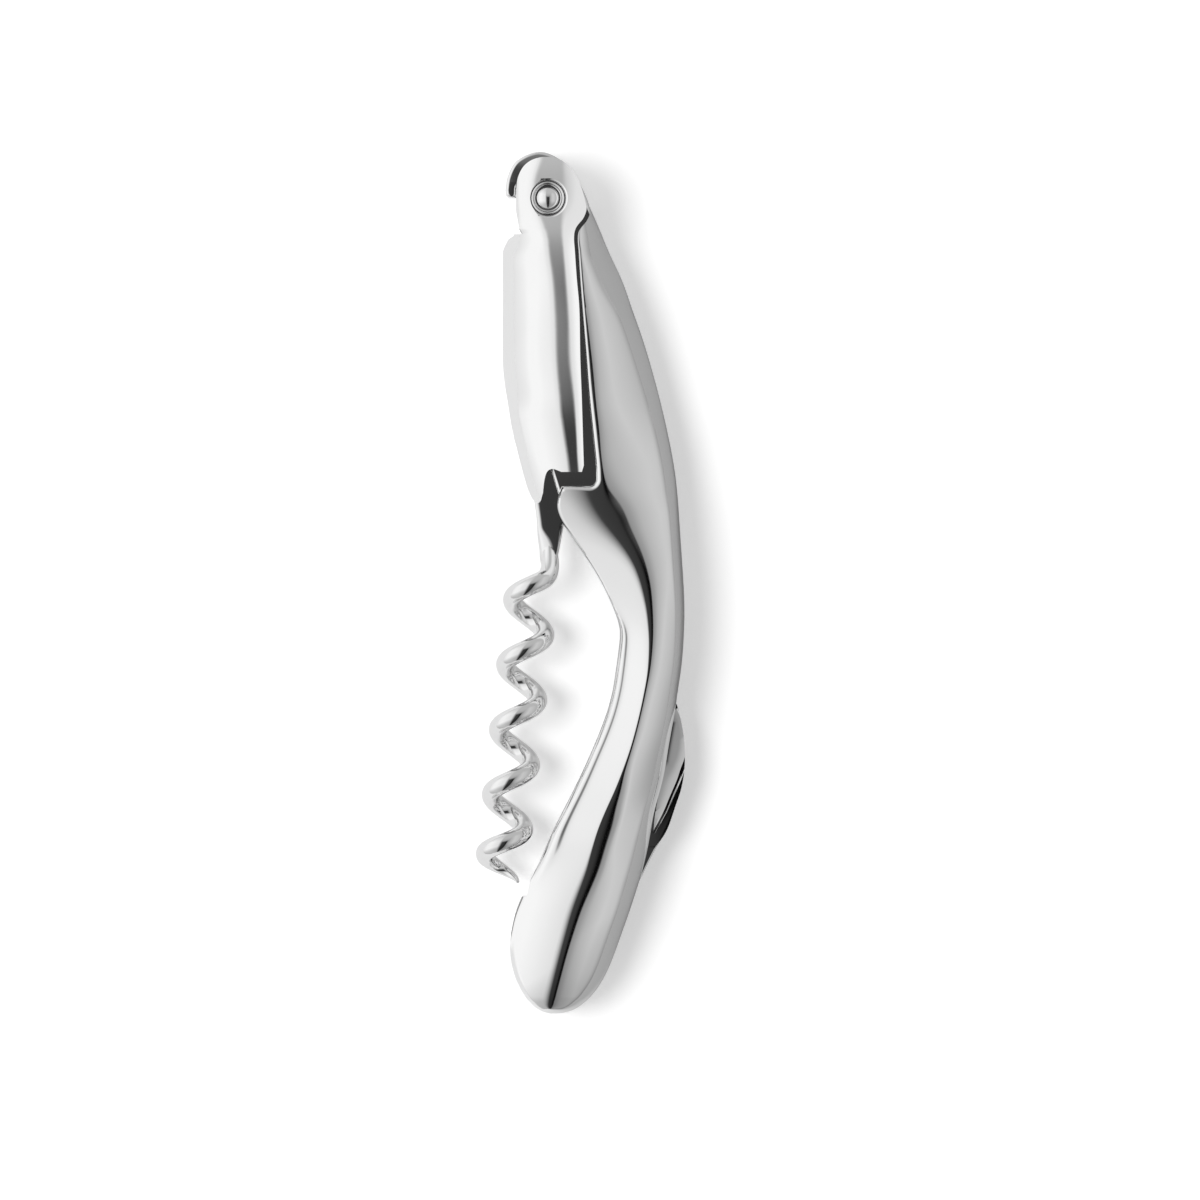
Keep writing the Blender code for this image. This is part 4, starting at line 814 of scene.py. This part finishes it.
# Lever rivet: a turned pin through both cheeks and the tongue, each end headed over into a low dome on
# a dished washer that fills the recess round it.
RIVET_RADIUS = 1.3
DOME_RADIUS = 1.7
DOME_FOOT = 6.2
DOME_HEIGHT = 0.78


def head_rivet():
    bulge = (DOME_RADIUS**2 + DOME_HEIGHT**2) / (2 * DOME_HEIGHT)
    edge = math.asin(DOME_RADIUS / bulge)
    near = [(RIVET_RADIUS, DOME_FOOT)]
    for step in range(13):
        angle = edge * (1 - step / 12)
        near.append((bulge * math.sin(angle), DOME_FOOT + DOME_HEIGHT - bulge * (1 - math.cos(angle))))
    near[-1] = (0.0, near[-1][1])
    return spun("headed_rivet", LEVER_PIVOT, near + far_side(reversed(near)))


rivet_steel = steel("rivet_steel_polish", 0.88, 0.05, 0.03, 0.0)
finish(head_rivet(), rivet_steel, "frame", "lever_rivet", 50.0)
rosette_steel = steel("rosette_steel_polish", 0.80, 0.09, 0.05, 0.0)
ROSETTE = (
    (1.38, 5.65), (2.6, 5.65), (2.62, 5.8), (2.6, 5.96), (2.52, 6.08), (2.4, 6.13), (2.28, 6.09),
    (2.18, 5.98), (2.08, 5.9), (1.92, 5.88), (1.38, 5.88),
)
for side, sign in (("near", 1), ("far", -1)):
    rosette = spun(f"rosette_{side}", LEVER_PIVOT, [(radius, sign * height) for radius, height in ROSETTE])
    finish(rosette, rosette_steel, "frame", f"lever_rosette_{side}")

# Worm pin: a plain hardened pin pressed through the tongue, on which the worm's tab swings.
pin_steel = steel("ground_pin_steel", 0.74, 0.12, 0.06, 0.06)
keep("worm_pin", pin_steel)

# Worm: one length of steel wire wound right-handed over five turns to an off-centre point, its upper
# end forged flat into the tab and drilled for its pin, then nickel-bright polished.
TAB = (
    (-4.33, -0.4, 0.4, 0.0, 1.3, 6.0), (-4.2, -1.1, 1.1, 0.0, 1.3, 7.0),
    (-3.9, -1.93, 1.93, 0.0, 1.3, 8.0), (-3.4, -2.71, 2.71, 0.0, 1.3, 9.0),
    (-2.8, -3.33, 3.33, 0.0, 1.3, 9.0), (-2.0, -3.86, 3.86, 0.0, 1.3, 9.0),
    (-1.0, -4.25, 4.22, 0.0, 1.3, 9.0), (0.0, -4.45, 4.28, 0.0, 1.3, 9.0),
    (1.5, -4.61, 4.1, 0.0, 1.3, 9.0), (3.3, -4.7, 3.42, 0.0, 1.3, 9.0),
    (5.0, -4.37, 2.85, 0.0, 1.3, 9.0), (7.9, -3.54, 2.15, 0.0, 1.3, 8.0),
    (10.6, -2.86, 1.55, 0.0, 1.3, 7.0), (12.0, -2.62, 1.46, 0.2, 1.3, 6.0),
    (12.8, -2.5, 1.4, 0.6, 1.3, 4.2), (13.6, -2.36, 1.34, 0.85, 1.32, 2.9),
    (14.6, -2.12, 1.26, 0.9, 1.36, 2.3), (15.8, -1.85, 1.15, 0.8, 1.36, 2.1),
    (17.0, -1.65, 0.95, 0.5, 1.25, 2.0), (18.2, -1.2, 0.6, 0.0, 0.9, 2.0),
)
WORM_LEAN = math.radians(-6.2)
WORM_REACH = 67.2
SHANK = 18.5
PITCH = 10.17
SQUEEZE = 0.097
LATE_TURNS = 1.37


def worm_wire_tree(material):
    """The wire's rule: a shank that runs into the coil, which tightens and thins towards its point."""
    tree = bpy.data.node_groups.new("wound_wire", "GeometryNodeTree")
    tree.interface.new_socket("Geometry", in_out="INPUT", socket_type="NodeSocketGeometry")
    sizes = (
        ("Wire", 1.5), ("Coil", 2.8), ("Pitch", PITCH), ("Turns", 4.971), ("Shank", SHANK), ("Axis", 2.4),
        ("Neck", 1.05), ("Start", 13.7), ("Offset", 0.4), ("Joint", 0.15), ("Point", 0.25), ("Taper", 0.6),
        ("Late Turns", LATE_TURNS), ("Squeeze", SQUEEZE),
    )
    add_inputs(tree, "Float", sizes)
    add_inputs(tree, "Int", (("Shank Points", 40), ("Points", 400), ("Sides", 32)))
    tree.interface.new_socket("Geometry", in_out="OUTPUT", socket_type="NodeSocketGeometry")
    given, result = tree.nodes.new("NodeGroupInput"), tree.nodes.new("NodeGroupOutput")

    def size(name):
        return Number(tree, given.outputs[name])

    def coil(turn):
        late = (turn - (size("Turns") - size("Late Turns"))).of("MAXIMUM", 0.0)
        fall = size("Pitch") * (turn - size("Squeeze") * late * late)
        angle = turn * math.tau
        return (
            size("Coil") * angle.of("COSINE") - size("Axis"),
            (size("Shank") + fall) * -1.0,
            size("Coil") * angle.of("SINE"))

    index = Number(tree, tree.nodes.new("GeometryNodeInputIndex").outputs["Index"])
    shank = (index / size("Shank Points")).of("MINIMUM", 1.0)
    coil_share = (index - size("Shank Points")) / (size("Points") - size("Shank Points") - 1.0)
    coil_share = coil_share.of("MAXIMUM", 0.0)
    joint = coil(size("Joint"))
    begin = (size("Offset") * -1.0, size("Start") * -1.0, size("Offset") * 0.0)
    gaps = [a - b for a, b in zip(joint, begin)]
    pull = (gaps[0] * gaps[0] + gaps[1] * gaps[1] + gaps[2] * gaps[2]).of("SQRT")
    lean = size("Joint") * math.tau
    run = size("Coil") * math.tau
    slope = (run * lean.of("SINE") * -1.0, size("Pitch") * -1.0, run * lean.of("COSINE"))
    stretch = pull / (run * run + size("Pitch") * size("Pitch")).of("SQRT")
    square, cube = shank * shank, shank * shank * shank
    rise = square * 3.0 - cube * 2.0
    leave = cube - square * 2.0 + shank
    arrive = cube - square
    turn = size("Joint") + (size("Turns") - size("Joint")) * coil_share
    on_coil = coil(turn)
    places = []
    for axis in range(3):
        place = begin[axis] * rise.less_from(1.0) + joint[axis] * rise + slope[axis] * stretch * arrive
        if axis == 1:
            place = place - pull * leave
        places.append(place + on_coil[axis] - joint[axis])
    swelling = size("Neck") + (size("Wire") - size("Neck")) * (shank * (math.pi / 2)).of("SINE")
    ease = ((size("Turns") - turn) / size("Taper")).of("MINIMUM", 1.0) * (math.pi / 2)
    thinning = size("Point") + (size("Wire") - size("Point")) * ease.of("SINE")
    thickness = swelling.of("MINIMUM", thinning) * MM

    line = feed(tree, "GeometryNodeMeshLine", Count=given.outputs["Points"]).outputs["Mesh"]
    x, y, z = (place * MM for place in places)
    spot = feed(tree, "ShaderNodeCombineXYZ", X=x, Y=y, Z=z).outputs["Vector"]
    placed = feed(tree, "GeometryNodeSetPosition", Geometry=line, Position=spot).outputs["Geometry"]
    wire = feed(tree, "GeometryNodeMeshToCurve", Mesh=placed).outputs["Curve"]
    circle = feed(tree, "GeometryNodeCurvePrimitiveCircle", Radius=1.0, Resolution=given.outputs["Sides"])
    drawn = feed(tree, "GeometryNodeCurveToMesh", Curve=wire, Profile_Curve=circle.outputs["Curve"])
    feed(tree, drawn, Fill_Caps=True, Scale=thickness)
    real = feed(tree, "GeometryNodeRealizeInstances", Geometry=drawn.outputs["Mesh"]).outputs["Geometry"]
    coat = feed(tree, "GeometryNodeSetMaterial", Geometry=real, Material=material)
    feed(tree, result, Geometry=coat.outputs["Geometry"])
    return tree


def forge_tab():
    angles = [math.tau * step / 72 for step in range(72)]
    rings = []
    for along, left, right, crest, half, squareness in curve_through(TAB, 4):
        ring = []
        for angle in angles:
            reach = (right - crest) if math.cos(angle) > 0 else (left - crest)
            across = abs(math.cos(angle)) ** (2 / squareness)
            height = half * abs(math.sin(angle)) ** (2 / squareness)
            height = math.copysign(height, math.sin(angle))
            ring.append(((crest + reach * across) * MM, -along * MM, height * MM))
        rings.append(ring)
    return skin("worm_tab", rings)


def wind_worm(material):
    worm = put("wound_worm", bpy.data.meshes.new("wound_worm"))
    tree = worm_wire_tree(material)
    maker = worm.modifiers.new("wound_wire", "NODES")
    maker.node_group = tree
    for item in tree.interface.items_tree:
        if item.in_out == "INPUT" and item.name == "Turns":
            maker[item.identifier] = (WORM_REACH - SHANK) / PITCH + SQUEEZE * LATE_TURNS**2
    mesh = worked_out(worm)
    worm.modifiers.clear()
    worm.data = mesh
    tidy(mesh)
    tab = forge_tab()
    place = Matrix.Translation(world(*WORM_PIVOT, 0.0)) @ Matrix.Rotation(WORM_LEAN, 4, "Z")
    for piece in (worm, tab):
        piece.data.transform(place)
    return carve(worm, ("UNION", tab), drum("worm_bore", WORM_PIVOT, PIN_BORE, -THROUGH, THROUGH))


worm_steel = steel("wire_steel_polish", 0.84, 0.025, 0.02, 0.01)
worm = wind_worm(worm_steel)
finish(worm, worm_steel, "screw", "worm", 40.0)

# Blade pin, spring pin and washers: a hardened pin carries the blade in the handle's slot between two
# thin washers, and a finer one holds the spring.
keep("blade_pin", pin_steel)
keep("backspring_pin", pin_steel)
keep("blade_washer_near", washer_steel)
keep("blade_washer_far", washer_steel)

# Foil blade: blanked from hardened sheet, both flats mirror polished, the back eased, with a nail nick
# ground aslant into the near flat.
BLADE_HALF = 0.9
BLADE_EASE = 0.22
BLADE_FALL = math.radians(4.4)
FALL_START = 23.4
FALL_END = 30.0
FALL_DROPS = (80.0, 100.0, 123.0)
NICK_LIP = 0.45
NICK_SLOPE = 0.13
NICK_DEEPEST = 0.3
NICK_LEFT = (
    (26.2, 86.9), (26.9, 88.9), (27.06, 91.4), (26.6, 94.0), (25.6, 96.1), (24.58, 98.1), (23.9, 100.4),
    (23.2, 103.4), (22.5, 106.6),
)
NICK_RIGHT = (
    (27.2, 86.2), (28.1, 88.4), (28.6, 91.0), (28.5, 93.6), (27.69, 96.07), (27.15, 97.6),
    (26.15, 99.9), (24.85, 102.9), (22.75, 106.95),
)


def nick_cutter():
    left, right = curve_through(NICK_LEFT, 4), curve_through(NICK_RIGHT, 4)
    rings = []
    for start, end in zip(left, right):
        dx, dd = end[0] - start[0], end[1] - start[1]
        width = math.hypot(dx, dd)
        depth = min(NICK_SLOPE * max(width - NICK_LIP, 0.1), NICK_DEEPEST)
        ux, ud = dx / width, dd / width
        section = (
            (-0.3, 0.042), (0.0, 0.0), (width * 0.5, -depth * 0.5), (width - NICK_LIP, -depth),
            (width, -depth), (width + 0.16, -depth + 0.14), (width + 0.24, -depth + 0.17),
            (width + 0.6, 0.5), (-0.3, 0.5))
        rings.append([
            world(start[0] + ux * along, start[1] + ud * along,
                  BLADE_HALF - (start[0] + ux * along - FALL_START) * math.tan(BLADE_FALL) + height)
            for along, height in section])
    return skin("nick", rings)


def hollow_cutter(side):
    """What the grinding takes off a flat, which falls away towards the back."""
    rings = []
    for drop in FALL_DROPS:
        low = BLADE_HALF - (FALL_END - FALL_START) * math.tan(BLADE_FALL)
        corners = ((FALL_START, BLADE_HALF), (FALL_END, low), (FALL_END, 2.0), (FALL_START, 2.0))
        rings.append([world(x, drop, side * height) for x, height in corners])
    return skin("hollow", rings)


def blank_blade():
    outline = curve_through(BLADE_SPINE) + [BLADE_TIP] + curve_through(BLADE_EDGE)
    outline += arc(BLADE_PIVOT, TANG_RADIUS, TANG_START, TANG_END, 48)
    blade = slab("foil_blade_blank", outline, -BLADE_HALF, BLADE_HALF, BLADE_EASE)
    return carve(
        blade,
        drum("blade_bore", BLADE_PIVOT, PIN_BORE, -THROUGH, THROUGH),
        hollow_cutter(1),
        hollow_cutter(-1),
        nick_cutter())


blade = blank_blade()
finish(blade, steel("blade_steel_mirror", 0.85, 0.03, 0.02, 0.01), "blade", "foil_blade", 8.0)

# Back spring: a flat strip of blue-tempered spring steel in a pocket beside the blade's tang.
keep("blade_backspring", steel("tempered_spring_steel", 0.55, 0.24, 0.10, 0.12))

# Stage: a pale sweep of paper under a broad soft box on the left and a dimmer one on the right, with
# a dark gap overhead where the camera stands.

# SKY is the brightness by degrees across the tool from straight up. LOW_END and HIGH_END are what is
# left of it by degrees towards the handle's end and the hook, and HOOK_END is the least on the hook's side.
SKY = (
    (-90, 0.88), (-71, 1.07), (-56, 1.07), (-40, 0.98), (-36, 0.95), (-26, 0.89), (-22, 0.87),
    (-18, 0.7), (-14, 0.39), (-10.6, 0.18), (-9, 0.08), (-8, 0.05), (4, 0.04), (7, 0.02), (8.5, 0.003),
    (12, 0.003), (13.4, 0.3), (14.8, 0.33), (18.4, 0.38), (22.6, 0.47), (26, 0.53), (30, 0.57),
    (35, 0.62), (42, 0.68), (60, 0.6), (70, 0.53), (80, 0.45), (90, 0.38),
)
SKY_PEAK = 1.1
LOW_END = ((0, 1.0), (20, 1.0), (47, 0.62), (80, 0.5), (90, 0.5))
HIGH_END = ((0, 1.0), (30, 1.0), (60, 0.72), (90, 0.55))
HOOK_END = ((0, 0.0), (3, 0.0), (7, 0.08), (12, 0.25), (20, 0.45), (40, 0.55), (90, 0.55))


def ramp_node(nodes, stops, low, high, peak):
    node = nodes.new("ShaderNodeValToRGB")
    ramp = node.color_ramp
    for index, (angle, value) in enumerate(stops):
        position = (angle - low) / (high - low)
        last = index == len(stops) - 1
        stop = ramp.elements[-1 if last else 0] if last or index == 0 else ramp.elements.new(position)
        stop.position = position
        stop.color = (value / peak, value / peak, value / peak, 1.0)
    return node


def light_world():
    sky = bpy.data.worlds.new("soft_boxes")
    bpy.context.scene.world = sky
    sky.use_nodes = True
    tree = sky.node_tree
    place = tree.nodes.new("ShaderNodeTexCoord").outputs["Generated"]
    parts = feed(tree, "ShaderNodeSeparateXYZ", Vector=place)
    x, y, z = (Number(tree, parts.outputs[axis]) for axis in "XYZ")
    across = x.of("ARCTAN2", z.of("MAXIMUM", 0.001)) / math.pi + 0.5
    along = (y * -1.0).of("ARCTAN2", (x * x + z * z).of("SQRT")).of("MAXIMUM", 0.0) / (math.pi / 2)
    upward = y.of("ARCTAN2", (x * x + z * z).of("SQRT")).of("MAXIMUM", 0.0) / (math.pi / 2)

    def read(stops, low, peak, angle):
        ramp = feed(tree, ramp_node(tree.nodes, stops, low, 90, peak), Fac=angle)
        return Number(tree, ramp.outputs["Color"])

    light = read(SKY, -90, SKY_PEAK, across) * read(LOW_END, 0, 1.0, along) * SKY_PEAK
    light = light * read(HIGH_END, 0, 1.0, upward)
    light = light.of("MAXIMUM", read(HOOK_END, 0, 1.0, upward))
    seen = Number(tree, tree.nodes.new("ShaderNodeLightPath").outputs["Is Camera Ray"])
    shade = light * seen.less_from(1.0) + seen
    feed(tree, tree.nodes["Background"], Color=(1.0, 1.0, 1.0, 1.0), Strength=shade)


FLOOR_HALF = 1.5
FLOOR_DROP = 0.00002
FLOOR_LIFT = 0.33
MIRRORED_LIFT = 0.06


def floor_paint():
    material = bpy.data.materials.new("paper_floor")
    material.use_nodes = True
    tree = material.node_tree
    place = tree.nodes.new("ShaderNodeTexCoord").outputs["Object"]
    path = tree.nodes.new("ShaderNodeLightPath")

    def ray(kind):
        return Number(tree, path.outputs[f"Is {kind} Ray"])

    grain = feed(tree, "ShaderNodeTexNoise", Scale=30.0, Vector=place).outputs["Fac"]
    tint = feed(tree, "ShaderNodeMapRange", Value=grain, To_Min=0.87, To_Max=0.89)
    # Painted shade: in the metal's reflections only, the floor's paint is darkened from the tool's middle
    # towards its right, by up to 0.55, standing in for a dimmer floor there.
    x = feed(tree, "ShaderNodeSeparateXYZ", Vector=place).outputs["X"]
    painted_shade_ramp = feed(tree, "ShaderNodeMapRange", Value=x, From_Min=-0.009, From_Max=0.012, To_Max=0.55)
    painted_reflection_shade = ray("Glossy") * Number(tree, painted_shade_ramp.outputs["Result"])
    paint = Number(tree, tint.outputs["Result"]) * painted_reflection_shade.less_from(1.0)
    lift = ray("Camera").of("MAXIMUM", ray("Transmission")) * FLOOR_LIFT + ray("Glossy") * MIRRORED_LIFT
    shader = feed(tree, tree.nodes["Principled BSDF"], Base_Color=paint, Roughness=1.0)
    white = (1.0, 1.0, 1.0, 1.0)
    feed(tree, shader, Specular_IOR_Level=0.0, Emission_Color=white, Emission_Strength=lift)
    return material


def lay_floor():
    mesh = bpy.data.meshes.new("floor")
    corners = [(x * FLOOR_HALF, y * FLOOR_HALF, 0.0) for x, y in ((-1, -1), (1, -1), (1, 1), (-1, 1))]
    mesh.from_pydata(corners, [], [(0, 1, 2, 3)])
    mesh.materials.append(floor_paint())
    floor = put("floor", mesh)
    floor.location.z = -FLOOR_DROP


KEY_POWER = 1.35
KEY_SPREAD = math.radians(26.0)
KEY_LEAN = math.radians(-27.0)


def hang_key():
    lamp = bpy.data.lights.new("key", "SUN")
    lamp.energy = KEY_POWER
    lamp.angle = KEY_SPREAD
    key = bpy.data.objects.new("key", lamp)
    key.rotation_euler = (0.0, KEY_LEAN, 0.0)
    key.visible_glossy = False
    bpy.context.scene.collection.objects.link(key)


PICTURE_PIXELS = 1200
PIXEL = 0.00015555
LENS = 400.0
SENSOR = 36.0
AIM = (0.003028, -0.002642)


def set_camera():
    lens = bpy.data.cameras.new("camera")
    lens.lens = LENS
    lens.sensor_width = SENSOR
    lens.clip_start = 0.01
    camera = bpy.data.objects.new("camera", lens)
    distance = PICTURE_PIXELS * PIXEL * LENS / SENSOR
    camera.location = (*AIM, MIDDLE * MM + distance)
    bpy.context.scene.collection.objects.link(camera)
    bpy.context.scene.camera = camera


light_world()
lay_floor()
hang_key()
set_camera()
bpy.context.scene.view_settings.view_transform = "Standard"
